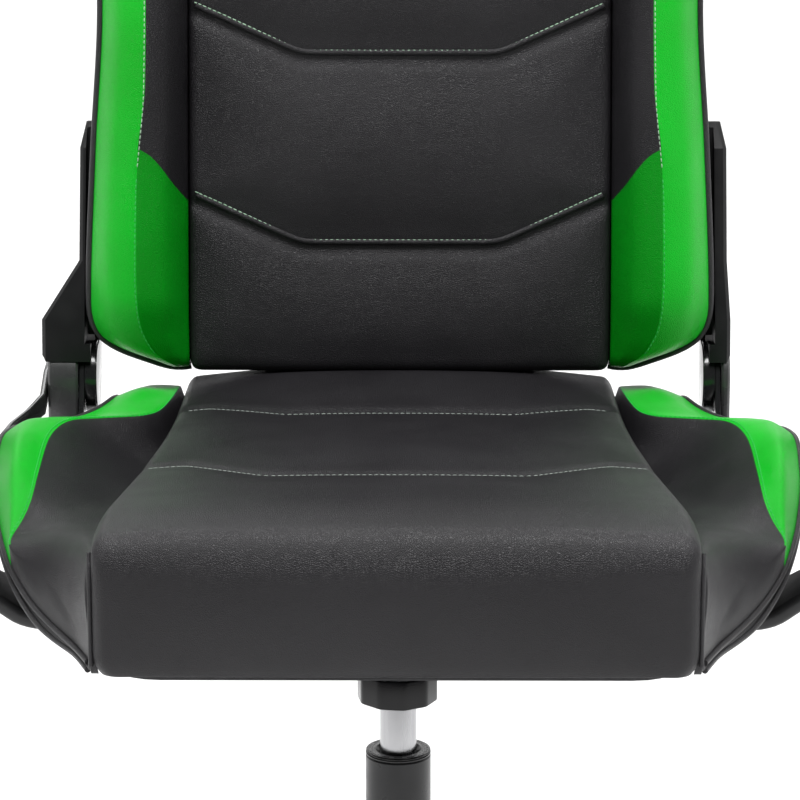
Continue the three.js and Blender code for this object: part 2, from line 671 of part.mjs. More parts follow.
function reclineLever() {
  const { y, z } = BACK_PIVOT;
  const sections = [
    { y: 14, x: 284, low: -10, high: 10 },
    { y: -12, x: 284, low: -14, high: 8 },
    { y: -42, x: 284.5, low: -22, high: -4 },
    { y: -75, x: 293, low: -23, high: -8 },
    { y: -120, x: 301, low: -22, high: -6 },
    { y: -165, x: 306, low: -20, high: -6 },
    { y: -174, x: 307.5, low: -17, high: -9 },
  ];
  const rings = sections.map((section) => {
    const x0 = section.x;
    const x1 = section.x + 4.5;
    const yy = y + section.y;
    return [[x0, yy, z + section.low + 1], [x0 + 1, yy, z + section.low], [x1, yy, z + section.low + 1],
      [x1, yy, z + section.high - 1], [x0 + 1, yy, z + section.high], [x0, yy, z + section.high - 1]];
  });
  return mirrored(loft(rings));
}

// ---------------------------------------------------------------- back
function backOutline(inset) {
  const table = BACK_HALF_WIDTH.map(([s, half]) => {
    const squeeze = s < 60 || s > 720 ? inset : 0;
    const towardsMiddle = s > 375 ? -squeeze : squeeze;
    return [half - inset, s + towardsMiddle];
  });
  const points = [...table, ...table.map(([x, s]) => [-x, s]).reverse()];
  return new THREE.Shape(points.map(toVector2));
}

function harnessOval(grow) {
  const { x, s, halfWidth, halfHeight, slant } = HARNESS;
  const shape = new THREE.Shape();
  shape.absellipse(x, s, halfWidth + grow, halfHeight + grow, 0, 2 * Math.PI, false, -slant);
  return shape;
}

function harnessHoles() {
  const hole = frontPlate(harnessOval(GAP), -100, 100, 0, 6);
  return [hole, mirrored(hole)];
}

function harnessBezel() {
  const wall = 4;
  const liner = frontPlate(harnessOval(0), PAD_FRONT - 4, SHELL_BACK + 3, 0, 6);
  const front = frontPlate(harnessOval(5), PAD_FRONT - 5, PAD_FRONT - 1.5, 0, 6);
  const rear = frontPlate(harnessOval(5), SHELL_BACK + GAP, SHELL_BACK + 3.5, 0, 6);
  return cut(join(liner, front, rear), frontPlate(harnessOval(-wall), -100, 100, 0, 6));
}

function backPad() {
  const rings = BACK_STATIONS.map((s) => {
    const half = along(BACK_PAD_HALF, s) - GAP;
    const end = s < 12 || s > 747 ? 12 : 0;
    const front = PAD_FRONT + end;
    return [[-half, PAD_BACK, s], [-half, front + 6, s], [-half * 0.6, front, s], [half * 0.6, front, s],
      [half, front + 6, s], [half, PAD_BACK, s]];
  });
  return cut(loft(rings), ...harnessHoles());
}

function backBolster() {
  const rings = BACK_STATIONS.map((s) => {
    const inner = along(BACK_PAD_HALF, s);
    const outer = along(BACK_HALF_WIDTH, s);
    const crest = -along(BOLSTER_CREST, s);
    const width = outer - inner;
    return [[inner, PAD_BACK, s], [inner, PAD_FRONT + 4, s], [inner + width * 0.3, crest * 0.85, s],
      [inner + width * 0.5, crest, s], [inner + width * 0.75, crest * 0.88, s], [outer - 1, crest * 0.45, s],
      [outer, -6, s], [outer - 3, PAD_BACK, s]];
  });
  return loft(rings);
}

function backShell() {
  const tray = frontPlate(backOutline(8.4), SHELL_FRONT, SHELL_BACK, 4, 1);
  const pocket = frontPlate(backOutline(20), SHELL_FRONT - 10, SHELL_BACK - 11, 0, 1);
  const flat = box(-300, 300, SHELL_FRONT - 20, SHELL_FRONT + 0.1, -50, 800);
  return cut(tray, pocket, flat, ...harnessHoles());
}

function backFrame() {
  const radius = 9.5;
  const depth = 19.5;
  const wire = new THREE.Shape();
  wire.absarc(0, 0, radius, 0, 2 * Math.PI);
  const side = [[200, 70], [205, 180], [203, 330], [212, 440], [208, 505], [162, 590], [140, 640],
    [110, 685], [50, 698]];
  const points = [...side, ...side.map(([x, s]) => [-x, s]).reverse()];
  const hoop = new THREE.CatmullRomCurve3(points.map(([x, s]) => new THREE.Vector3(x, depth, s)));
  const bars = [85, 330, 510].map((s) => {
    const half = s > 400 ? 207 : 204;
    return alongX(rod(radius - 1, -half, half, 8), depth, s);
  });
  const bent = new THREE.ExtrudeGeometry(wire, { steps: 28, curveSegments: 3, extrudePath: hoop });
  return join(bent, ...bars);
}

function addBack(chair) {
  const back = new THREE.Group();
  back.position.set(0, BACK_PIVOT.y, BACK_PIVOT.z);
  back.rotation.x = THREE.MathUtils.degToRad(-BACK_LEAN);
  chair.add(back);
  part(back, 'back_frame', backFrame(), blackSteel);
  part(back, 'back_shell', backShell(), blackLeather);
  part(back, 'back_pad', backPad(), blackLeather);
  const bolster = backBolster();
  part(back, 'back_bolster_left', bolster, greenLeather);
  part(back, 'back_bolster_right', mirrored(bolster), greenLeather);
  const bezel = harnessBezel();
  part(back, 'harness_bezel_left', bezel, blackPlastic);
  part(back, 'harness_bezel_right', mirrored(bezel), blackPlastic);
  const arm = backArm();
  part(back, 'back_arm_left', arm, blackSteel);
  part(back, 'back_arm_right', mirrored(arm), blackSteel);
  part(back, 'upper_cover_left', upperCover(263.5, 266), blackPlastic);
  part(back, 'upper_cover_right', mirrored(upperCover(258.5, 288)), blackPlastic);
}

function addRecliner(chair) {
  const bracket = seatBracket();
  part(chair, 'seat_bracket_left', bracket, blackSteel);
  part(chair, 'seat_bracket_right', mirrored(bracket), blackSteel);
  part(chair, 'lower_cover_left', lowerCover(266), blackPlastic);
  part(chair, 'lower_cover_right', mirrored(lowerCover(283.5)), blackPlastic);
  part(chair, 'recline_lever', reclineLever(), blackSteel);
}

// ---------------------------------------------------------------- assembly
const chair = new THREE.Group();
chair.position.y = COLUMN_Y;
addBase(chair);
addGasLift(chair);
addMechanism(chair);
addSeat(chair);
addArmrests(chair);
addRecliner(chair);
addBack(chair);

export default chair;
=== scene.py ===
import json
import math

import bmesh
import bpy
import numpy as np
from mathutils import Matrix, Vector
from mathutils.bvhtree import BVHTree


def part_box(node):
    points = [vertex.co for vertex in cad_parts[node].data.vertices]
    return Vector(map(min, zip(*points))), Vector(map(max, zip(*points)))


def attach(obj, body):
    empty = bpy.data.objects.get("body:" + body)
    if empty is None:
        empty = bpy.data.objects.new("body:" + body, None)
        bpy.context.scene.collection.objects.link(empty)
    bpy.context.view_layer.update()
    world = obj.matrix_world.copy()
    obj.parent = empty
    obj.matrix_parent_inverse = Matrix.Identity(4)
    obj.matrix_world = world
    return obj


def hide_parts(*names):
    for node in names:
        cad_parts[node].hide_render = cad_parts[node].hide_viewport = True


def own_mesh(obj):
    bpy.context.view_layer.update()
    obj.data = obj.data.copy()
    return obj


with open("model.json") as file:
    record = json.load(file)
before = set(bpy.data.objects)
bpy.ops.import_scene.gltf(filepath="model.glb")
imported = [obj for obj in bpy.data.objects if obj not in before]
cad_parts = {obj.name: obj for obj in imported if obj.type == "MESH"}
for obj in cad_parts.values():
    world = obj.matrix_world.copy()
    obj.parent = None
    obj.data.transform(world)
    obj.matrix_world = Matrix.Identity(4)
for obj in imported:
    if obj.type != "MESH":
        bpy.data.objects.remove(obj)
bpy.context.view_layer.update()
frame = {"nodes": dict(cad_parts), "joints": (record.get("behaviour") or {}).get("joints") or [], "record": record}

# ---- places from the frame
MM = 0.001
SIDES = (("left", 1), ("right", -1))
column_low, column_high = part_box("gas_column")
COLUMN_Y = (column_low[1] + column_high[1]) / 2
JOINTS = {joint["name"]: joint for joint in frame["joints"]}
HINGE_Y = (JOINTS["recline"]["pos_m"][1] - COLUMN_Y) / MM
HINGE_Z = JOINTS["recline"]["pos_m"][2] / MM
LEAN = math.radians(9)

# ---- seat tables, by distance behind the column
SEAT_BOTTOM = 457.0
SEAT_HALF = [[-270, 211], [-250, 212.5], [-205, 211], [-60, 193.5], [30, 184], [120, 177.5], [243, 173]]
SEAT_TOP = [[-270, 562], [-225, 565], [-150, 560], [-60, 556], [120, 550], [225, 550], [243, 549.5]]
PIPE_X = [[-256, 212], [-220, 226], [-180, 248], [-150, 266], [-120, 282], [-80, 294], [-30, 301],
          [30, 303], [80, 299], [120, 285], [150, 260], [170, 243], [190, 233], [224, 225]]
PIPE_Z = [[-256, 464], [-220, 465], [-180, 470], [-150, 479], [-120, 494], [-80, 514], [-30, 535],
          [30, 548], [80, 543], [120, 535], [150, 531], [170, 533], [200, 536], [224, 528]]
WING_SEAM_X = [[-256, 213], [-220, 224], [-180, 242], [-150, 261], [-120, 283], [-100, 275], [-80, 270],
               [-40, 268], [0, 267], [20, 265], [45, 260], [65, 252], [80, 238], [95, 218], [110, 200],
               [130, 189], [160, 183], [224, 177]]
WING_SEAM_Z = [[-256, 478], [-220, 486], [-180, 495], [-150, 503], [-120, 512], [-100, 523], [-80, 534],
               [-40, 546], [0, 552], [20, 555], [45, 556], [65, 555], [80, 552], [95, 549], [110, 546],
               [130, 544], [160, 543], [224, 540]]
WING_SWELL = [[-256, 14], [-200, 16], [-150, 11], [-120, 5], [-80, -4], [-20, -11], [80, -11], [224, -3]]
VALLEY = [[-256, 26], [-160, 32], [-100, 42], [-40, 50], [60, 48], [130, 30], [224, 18]]
WING_FOOT = [[-256, 206], [-220, 217], [-195, 233], [-160, 253], [-80, 277], [0, 296], [60, 298],
             [110, 288], [150, 262], [190, 236], [224, 226]]
WING_CREST_Z = [[-256, 471], [-220, 477], [-180, 485], [-150, 495], [-120, 508], [-100, 524], [-80, 538],
                [-50, 553], [0, 561], [40, 560], [70, 554], [100, 546], [130, 541], [160, 542], [190, 545],
                [224, 540]]

# ---- back tables, by distance up the back
BACK_HALF = [[10, 190], [16, 205], [24, 228], [38, 247.5], [59, 252.5], [180, 248], [302, 241.5], [370, 244],
             [440, 264], [490, 281], [520, 284], [550, 270], [590, 222], [630, 194], [690, 182], [725, 166],
             [744, 130], [750, 100]]
PAD_HALF = [[7, 168.5], [60, 169], [520, 169], [560, 158], [600, 146], [650, 138], [720, 122],
            [744, 90], [750, 70]]
CREST_X = [[10, 178], [24, 195], [52, 206], [84, 208], [147, 207], [233, 200], [304, 199], [440, 216],
           [520, 229], [560, 216], [600, 188], [690, 160], [750, 86]]
CREST_DEPTH = [[10, 42], [20, 54], [35, 64], [70, 76], [300, 79], [500, 80], [600, 64], [700, 50], [750, 38]]
LEAF_TOP = [[169, 143], [179, 157], [187, 170], [196, 181], [209, 189]]  # by distance from the middle
CHEVRONS = [111, 262, 415, 560]
CHEVRON_RISE = 38
WELT = 6.0  # from the stitched line down to the fold
PAD_FRONT = -37.0


def interpolate(table, x):
    """Smooth monotone curve through a table of [distance, value] pairs."""
    xs, ys = np.array(table, float).T
    step = np.diff(xs)
    slope = np.diff(ys) / step
    tangent = np.zeros(len(xs))
    tangent[0], tangent[-1] = slope[0], slope[-1]
    same = slope[1:] * slope[:-1] > 0
    after = 2 * step[1:] + step[:-1]
    before = step[1:] + 2 * step[:-1]
    one = np.where(same, slope[:-1], 1)
    two = np.where(same, slope[1:], 1)
    tangent[1:-1] = np.where(same, (after + before) / (after / one + before / two), 0)
    x = np.asarray(x, float)
    k = np.clip(np.searchsorted(xs, x) - 1, 0, len(xs) - 2)
    t = np.clip((x - xs[k]) / step[k], 0, 1)
    return ((2 * t**3 - 3 * t**2 + 1) * ys[k] + (t**3 - 2 * t**2 + t) * step[k] * tangent[k]
            + (3 * t**2 - 2 * t**3) * ys[k + 1] + (t**3 - t**2) * step[k] * tangent[k + 1])


# ---- mesh helpers
def from_back(points):
    """(x, depth, height) on the leaning back to chair millimetres."""
    x, depth, height = np.asarray(points, float).T
    y = HINGE_Y + depth * math.cos(LEAN) + height * math.sin(LEAN)
    z = HINGE_Z - depth * math.sin(LEAN) + height * math.cos(LEAN)
    return np.stack([x, y, z], axis=1)


def place(name, data):
    obj = bpy.data.objects.new(name, data)
    bpy.context.scene.collection.objects.link(obj)
    return obj


def add_mesh(name, points, faces, material, side=1, smooth_angle=40):
    """Turns millimetre points into a piece; side -1 mirrors it to the right."""
    points = np.array(points, float) * MM
    points[:, 0] *= side
    points[:, 1] += COLUMN_Y
    mesh = bpy.data.meshes.new(name)
    mesh.from_pydata(points.tolist(), [], [list(map(int, face)) for face in faces])
    bm = bmesh.new()
    bm.from_mesh(mesh)
    bmesh.ops.recalc_face_normals(bm, faces=bm.faces)
    bm.to_mesh(mesh)
    bm.free()
    mesh.materials.append(material)
    obj = place(name, mesh)
    mesh.shade_smooth()
    mesh.set_sharp_from_angle(angle=math.radians(smooth_angle))
    return obj


def settle(obj, body, slot, *nodes):
    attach(obj, body)
    if nodes:
        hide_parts(*nodes)
    return obj


def grid_faces(rows, columns, wrap_columns=True, wrap_rows=False):
    faces = []
    for r in range(rows if wrap_rows else rows - 1):
        for c in range(columns if wrap_columns else columns - 1):
            r1, c1 = (r + 1) % rows, (c + 1) % columns
            faces.append((r * columns + c, r * columns + c1, r1 * columns + c1, r1 * columns + c))
    return faces


def loft(rings):
    """Closed skin over an array of rings, with a fan over each end."""
    rows, columns, _ = rings.shape
    points = np.concatenate([rings.reshape(-1, 3), rings[0].mean(0)[None], rings[-1].mean(0)[None]])
    faces = grid_faces(rows, columns)
    first, last = rows * columns, rows * columns + 1
    base = (rows - 1) * columns
    for c in range(columns):
        c1 = (c + 1) % columns
        faces.append((first, c1, c))
        faces.append((last, base + c, base + c1))
    return points, faces


SPLINE_TENSION = 0.42  # how far the neighbouring controls pull on each tangent


def spline(controls, count):
    """Evenly shared points along an open cardinal spline through the controls."""
    controls = np.asarray(controls, float)
    last = len(controls) - 1
    t = np.linspace(0, last, count)
    k = np.minimum(t.astype(int), last - 1)
    f = (t - k)[:, None]
    p0, p1, p2, p3 = (controls[np.clip(k + step, 0, last)] for step in (-1, 0, 1, 2))
    m1, m2 = (p2 - p0) * SPLINE_TENSION, (p3 - p1) * SPLINE_TENSION
    return ((2 * f**3 - 3 * f**2 + 1) * p1 + (f**3 - 2 * f**2 + f) * m1
            + (3 * f**2 - 2 * f**3) * p2 + (f**3 - f**2) * m2)


def rounded_block(half, radii, pitch):
    """Dense box skin with rounded edges, centred on the origin: (points, faces)."""
    counts = [max(2, int(round(2 * h / pitch))) for h in half]
    index, points, faces = {}, [], []

    def vertex(i, j, k):
        key = (i, j, k)
        if key not in index:
            index[key] = len(points)
            points.append([-1 + 2 * i / counts[0], -1 + 2 * j / counts[1], -1 + 2 * k / counts[2]])
        return index[key]

    for axis in range(3):
        u, v = (axis + 1) % 3, (axis + 2) % 3
        for end in (0, counts[axis]):
            for a in range(counts[u]):
                for b in range(counts[v]):
                    corners = []
                    for da, db in ((0, 0), (1, 0), (1, 1), (0, 1)):
                        key = [0, 0, 0]
                        key[axis], key[u], key[v] = end, a + da, b + db
                        corners.append(vertex(*key))
                    faces.append(corners if end else corners[::-1])
    half, radii = np.array(half, float), np.array(radii, float)
    points = np.array(points) * half
    core = np.clip(points, radii - half, half - radii)
    offset = (points - core) / radii
    length = np.linalg.norm(offset, axis=1, keepdims=True)
    return core + np.where(length > 0, offset / np.maximum(length, 1e-9), 0) * radii, faces


def tube_points(path, radius, sides=10):
    """Rings of a round tube along a path, kept from twisting."""
    path = np.asarray(path, float)
    tangent = np.gradient(path, axis=0)
    tangent /= np.linalg.norm(tangent, axis=1, keepdims=True)
    normal = np.cross(tangent[0], [0.31, 0.17, 0.93])
    rings = []
    for point, along in zip(path, tangent):
        normal = normal - along * (normal @ along)
        normal /= np.linalg.norm(normal)
        other = np.cross(along, normal)
        angle = np.linspace(0, 2 * math.pi, sides, endpoint=False)[:, None]
        rings.append(point + radius * (np.cos(angle) * normal + np.sin(angle) * other))
    return np.array(rings)


def surface_of(obj):
    """Finds the nearest skin point and its normal, in chair millimetres."""
    mesh = obj.data
    tree = BVHTree.FromPolygons([v.co.copy() for v in mesh.vertices], [p.vertices[:] for p in mesh.polygons])

    def nearest(point):
        local = Vector((point[0] * MM, point[1] * MM + COLUMN_Y, point[2] * MM))
        where, normal, _, _ = tree.find_nearest(local)
        where = np.array([where.x, where.y - COLUMN_Y, where.z]) / MM
        return where, np.array(normal)

    return nearest


def resample(path, pitch):
    """The same path again with points about one pitch apart."""
    path = np.asarray(path, float)
    length = np.concatenate([[0], np.cumsum(np.linalg.norm(np.diff(path, axis=0), axis=1))])
    count = max(2, int(round(length[-1] / pitch)) + 1)
    at = np.linspace(0, length[-1], count)
    return np.stack([np.interp(at, length, path[:, k]) for k in range(3)], axis=1)


def on_skin(skin, path, lift):
    """Moves a path onto a skin, lifted along its normals, which come second."""
    found = [skin(point) for point in path]
    return np.array([where + normal * lift for where, normal in found]), np.array([n for _, n in found])


def relax(path, passes=2):
    """Evens out small jumps left by snapping a path to a skin."""
    path = path.copy()
    for _ in range(passes):
        path[1:-1] = path[:-2] * 0.25 + path[1:-1] * 0.5 + path[2:] * 0.25
    return path


def add_piping(name, skin, path, material, body, radius=2.3, lift=0.6):
    """Round cord sewn along a line on a skin."""
    line, _ = on_skin(skin, resample(path, 6), lift)
    points, faces = loft(tube_points(resample(relax(line), 4), radius))
    return settle(add_mesh(name, points, faces, material), body, "leather_black")


def add_stitches(name, skin, path, material, body, slot, pitch=4.4, length=3.2, thick=0.42, lift=0.2):
    """Thread showing along a seam: one short rounded bar per stitch."""
    line, normals = on_skin(skin, resample(path, pitch / 4), lift)
    line = relax(line)
    points, faces = [], []
    sides, rings = 6, ((-1, 0.35), (-0.75, 0.9), (0, 1.1), (0.75, 0.9), (1, 0.35))
    for k in range(2, len(line) - 2, 4):
        along = line[k + 1] - line[k - 1]
        norm = np.linalg.norm(along)
        if norm < 1e-6:
            continue
        along /= norm
        up = normals[k] - along * (normals[k] @ along)
        up /= np.linalg.norm(up)
        across = np.cross(along, up)
        start = len(points)
        for reach, width in rings:
            for a in np.linspace(0, 2 * math.pi, sides, endpoint=False):
                sink = -0.5 * reach * reach
                points.append(line[k] + along * reach * length / 2 + thick * width * (
                    math.cos(a) * across + math.sin(a) * up) + up * sink * thick)
        for r in range(len(rings) - 1):
            for c in range(sides):
                c1 = (c + 1) % sides
                faces.append((start + r * sides + c, start + r * sides + c1,
                              start + (r + 1) * sides + c1, start + (r + 1) * sides + c))
        faces.append([start + c for c in range(sides)][::-1])
        faces.append([start + (len(rings) - 1) * sides + c for c in range(sides)])
    return settle(add_mesh(name, points, faces, material), body, slot)


# ---- materials
def new_material(name, roughness, metallic=0.0, specular=0.5, coat=0.0):
    material = bpy.data.materials.new(name)
    material.use_nodes = True
    shader = material.node_tree.nodes["Principled BSDF"]
    shader.inputs["Roughness"].default_value = roughness
    shader.inputs["Metallic"].default_value = metallic
    shader.inputs["Specular IOR Level"].default_value = specular
    shader.inputs["Coat Weight"].default_value = coat
    shader.inputs["Coat Roughness"].default_value = 0.12
    return material, material.node_tree, shader


def texture(tree, kind, scale, **settings):
    """A procedural texture read in the piece's own coordinates, in metres."""
    coordinates = tree.nodes.new("ShaderNodeTexCoord")
    node = tree.nodes.new(kind)
    tree.links.new(coordinates.outputs["Object"], node.inputs["Vector"])
    node.inputs["Scale"].default_value = scale
    for key, value in settings.items():
        if key == "feature":
            node.feature = value
        else:
            node.inputs[key].default_value = value
    return node


def spread(tree, source, low, high, start=0.3, end=0.7):
    """Maps a texture's middle range to the values low to high."""
    node = tree.nodes.new("ShaderNodeMapRange")
    tree.links.new(source, node.inputs["Value"])
    node.inputs["From Min"].default_value = start
    node.inputs["From Max"].default_value = end
    node.inputs["To Min"].default_value = low
    node.inputs["To Max"].default_value = high
    return node.outputs["Result"]


def tint(tree, shader, source, dark, light):
    """Varies the base colour between two tones."""
    node = tree.nodes.new("ShaderNodeMix")
    node.data_type = "RGBA"
    tree.links.new(source, node.inputs["Factor"])
    node.inputs["A"].default_value = (*dark, 1)
    node.inputs["B"].default_value = (*light, 1)
    tree.links.new(node.outputs["Result"], shader.inputs["Base Color"])


def bump(tree, shader, height, distance, strength=1.0, below=None):
    node = tree.nodes.new("ShaderNodeBump")
    node.inputs["Strength"].default_value = strength
    node.inputs["Distance"].default_value = distance
    tree.links.new(height, node.inputs["Height"])
    if below:
        tree.links.new(below, node.inputs["Normal"])
    tree.links.new(node.outputs["Normal"], shader.inputs["Normal"])
    return node.outputs["Normal"]


def times(tree, first, second):
    node = tree.nodes.new("ShaderNodeMath")
    node.operation = "MULTIPLY"
    tree.links.new(first, node.inputs[0])
    tree.links.new(second, node.inputs[1])
    return node.outputs["Value"]


def leather(name, dark, light, roughness, specular=0.3):
    """Leatherette: pebbled grain, soft creases that gather beside the seams."""
    material, tree, shader = new_material(name, roughness, specular=specular)
    cloud = texture(tree, "ShaderNodeTexNoise", 9.0, Detail=3.0)
    tint(tree, shader, spread(tree, cloud.outputs["Fac"], 0.0, 1.0), dark, light)
    rubbed = texture(tree, "ShaderNodeTexNoise", 24.0, Detail=4.0)
    rubs = spread(tree, rubbed.outputs["Fac"], roughness - 0.05, roughness + 0.07)
    tree.links.new(rubs, shader.inputs["Roughness"])
    seam = tree.nodes.new("ShaderNodeAttribute")
    seam.attribute_name = "seam"
    gathers = texture(tree, "ShaderNodeTexNoise", 85.0, Detail=2.0, Distortion=1.2)
    gathered = times(tree, gathers.outputs["Fac"], seam.outputs["Fac"])
    pucker = bump(tree, shader, gathered, 0.0007, 0.5)
    creases = texture(tree, "ShaderNodeTexNoise", 22.0, Detail=5.0, Roughness=0.6, Distortion=0.8)
    soft = bump(tree, shader, creases.outputs["Fac"], 0.0006, 0.5, pucker)
    grain = texture(tree, "ShaderNodeTexVoronoi", 760.0, feature="DISTANCE_TO_EDGE")
    pebbles = spread(tree, grain.outputs["Distance"], 0.0, 1.0, 0.0, 0.22)
    bump(tree, shader, pebbles, 0.0003, 0.6, soft)
    return material


def moulded(name, dark, light, roughness, speckle=900.0, depth=0.00012, coat=0.0, specular=0.3):
    """Injection-moulded plastic or powder coat with a fine spark-eroded texture."""
    material, tree, shader = new_material(name, roughness, specular=specular, coat=coat)
    cloud = texture(tree, "ShaderNodeTexNoise", 14.0, Detail=4.0)
    tint(tree, shader, spread(tree, cloud.outputs["Fac"], 0.0, 1.0), dark, light)
    worn = texture(tree, "ShaderNodeTexNoise", 60.0, Detail=3.0)
    tree.links.new(spread(tree, worn.outputs["Fac"], roughness - 0.05, roughness + 0.08),
                   shader.inputs["Roughness"])
    grain = texture(tree, "ShaderNodeTexNoise", speckle, Detail=2.0)
    bump(tree, shader, grain.outputs["Fac"], depth, 0.6)
    return material


def drawn_out(tree, node):
    """Stretches a texture along the upright, as on a drawn and polished tube."""
    stretch = tree.nodes.new("ShaderNodeMapping")
    stretch.inputs["Scale"].default_value = (1, 1, 0.01)
    link = node.inputs["Vector"].links[0]
    tree.links.new(link.from_socket, stretch.inputs["Vector"])
    tree.links.new(stretch.outputs["Vector"], node.inputs["Vector"])


def metal(name, color, roughness, drawn=False):
    """Bare metal, smudged; a drawn tube is streaked along its length instead."""
    material, tree, shader = new_material(name, roughness, metallic=1.0)
    smudge = texture(tree, "ShaderNodeTexNoise", 220.0 if drawn else 18.0, Detail=4.0)
    if drawn:
        drawn_out(tree, smudge)
    dark = 0.6 if drawn else 0.93
    tint(tree, shader, smudge.outputs["Fac"], tuple(c * dark for c in color), color)
    tree.links.new(spread(tree, smudge.outputs["Fac"], roughness * 0.8, roughness * 1.5),
                   shader.inputs["Roughness"])
    grain = texture(tree, "ShaderNodeTexNoise", 320.0, Detail=2.0)
    bump(tree, shader, grain.outputs["Fac"], 0.00003, 0.5)
    return material


def woven(name, dark, light, roughness, scale=1100.0):
    """Thread or cloth: fine crossed waves."""
    material, tree, shader = new_material(name, roughness)
    cloud = texture(tree, "ShaderNodeTexNoise", 120.0, Detail=2.0)
    tint(tree, shader, cloud.outputs["Fac"], dark, light)
    wave = texture(tree, "ShaderNodeTexWave", scale, Distortion=1.5)
    cross = texture(tree, "ShaderNodeTexWave", scale * 0.9, Distortion=2.5)
    cross.bands_direction = "Y"
    bump(tree, shader, times(tree, wave.outputs["Fac"], cross.outputs["Fac"]), 0.0002, 0.7)
    return material


BLACK_LEATHER = leather("black_leatherette", (0.0085, 0.0078, 0.0092), (0.0125, 0.0117, 0.0135),
                        0.4)
GREEN_LEATHER = leather("green_leatherette", (0.0, 0.34, 0.008), (0.0, 0.43, 0.014), 0.34, 0.2)
# Darker copy of the green leatherette: painted shade for the inward-facing leaf panels of the back bolsters, which
# are the same green.
SHADED_GREEN_LEATHER = leather("green_leatherette_painted_shade", (0.0, 0.2, 0.004), (0.0, 0.25, 0.007), 0.4,
                             0.14)
PIPING = leather("piping_leatherette", (0.014, 0.0135, 0.015), (0.024, 0.023, 0.025), 0.38)
THREAD = woven("pale_green_thread", (0.24, 0.42, 0.27), (0.42, 0.6, 0.44), 0.6)
GREY_THREAD = woven("grey_thread", (0.2, 0.24, 0.21), (0.34, 0.38, 0.35), 0.6)
GREEN_THREAD = woven("green_thread", (0.01, 0.34, 0.05), (0.03, 0.5, 0.09), 0.6)
DUST_CLOTH = woven("black_dust_cloth", (0.012, 0.012, 0.013), (0.03, 0.03, 0.032), 0.85, 700.0)
PLASTIC = moulded("satin_black_nylon", (0.012, 0.012, 0.0125), (0.02, 0.02, 0.021), 0.38)
# Upper covers: the same black plastic as the lower covers, made darker as painted shade on front faces that get
# little light.
UPPER_COVER_SHADED = moulded("cover_plastic_painted_shade", (0.006, 0.006, 0.0065), (0.01, 0.01, 0.0105), 0.42,
                      specular=0.2)
# Lower covers: black plastic that is really glossy, with the lighter grey base colour as a painted highlight.
LOWER_COVER_LIT = moulded("cover_plastic_painted_highlight", (0.03, 0.03, 0.031), (0.046, 0.046, 0.047), 0.26,
                      specular=0.5)
KNOB_PLASTIC = moulded("gloss_black_knob", (0.003, 0.003, 0.0035), (0.005, 0.005, 0.0055), 0.16,
                       specular=0.22)
SOFT_PLASTIC = moulded("soft_armpad_foam", (0.013, 0.013, 0.014), (0.022, 0.022, 0.023), 0.5, 620.0, 0.0002)
TREAD = moulded("nylon_wheel", (0.014, 0.014, 0.015), (0.028, 0.028, 0.03), 0.45)
BLACK_STEEL = moulded("black_gloss_steel", (0.008, 0.008, 0.009), (0.013, 0.013, 0.014), 0.2, 500.0,
                      0.00006, coat=0.5)
SATIN_STEEL = moulded("satin_black_column", (0.012, 0.012, 0.013), (0.018, 0.018, 0.019), 0.3, 500.0,
                      0.00006)
CHROME = metal("polished_tube", (0.44, 0.44, 0.45), 0.2, drawn=True)
ZINC = metal("zinc_plate", (0.56, 0.56, 0.58), 0.3)
BUSH_PLASTIC = moulded("guide_bush_plastic", (0.006, 0.006, 0.0065), (0.01, 0.01, 0.0105), 0.2,
                       specular=0.4)
# Pale grey top face of the black guide bush: a painted highlight standing in for light falling on its upward face.
BUSH_FACE_PAINTED_HIGHLIGHT = moulded("guide_bush_face_painted_highlight", (0.2, 0.2, 0.205), (0.3, 0.3, 0.305), 0.3)


# ---- soft parts: shared steps
SOFT = []  # skins waiting for the cloth: each with how far it may swell and its rounds of calming


def mark_seams(obj, strength):
    """Stores how near each point is to a seam, from 0 to 1, for the creases in the leather."""
    attribute = obj.data.attributes.new("seam", "FLOAT", "POINT")
    attribute.data.foreach_set("value", np.clip(strength, 0, 1).astype(np.float32))


def await_cloth(obj, pinned, cap, calm=3):
    """Puts a skin in line for run_cloth(), its pinned points held by a vertex group."""
    group = obj.vertex_groups.new(name="pin")
    group.add([int(i) for i in np.flatnonzero(pinned)], 1.0, "REPLACE")
    SOFT.append((obj, cap * MM, calm))


def even_out(obj, move, rounds):
    """Spreads a movement over neighbouring vertices; what was pinned stays put."""
    edges = np.array([edge.vertices[:] for edge in obj.data.edges])
    still = np.linalg.norm(move, axis=1) < 1e-7
    count = np.bincount(edges.ravel(), minlength=len(move))[:, None]
    for _ in range(rounds):
        total = np.zeros_like(move)
        np.add.at(total, edges[:, 0], move[edges[:, 1]])
        np.add.at(total, edges[:, 1], move[edges[:, 0]])
        move = 0.4 * move + 0.6 * total / np.maximum(count, 1)
        move[still] = 0
    return move


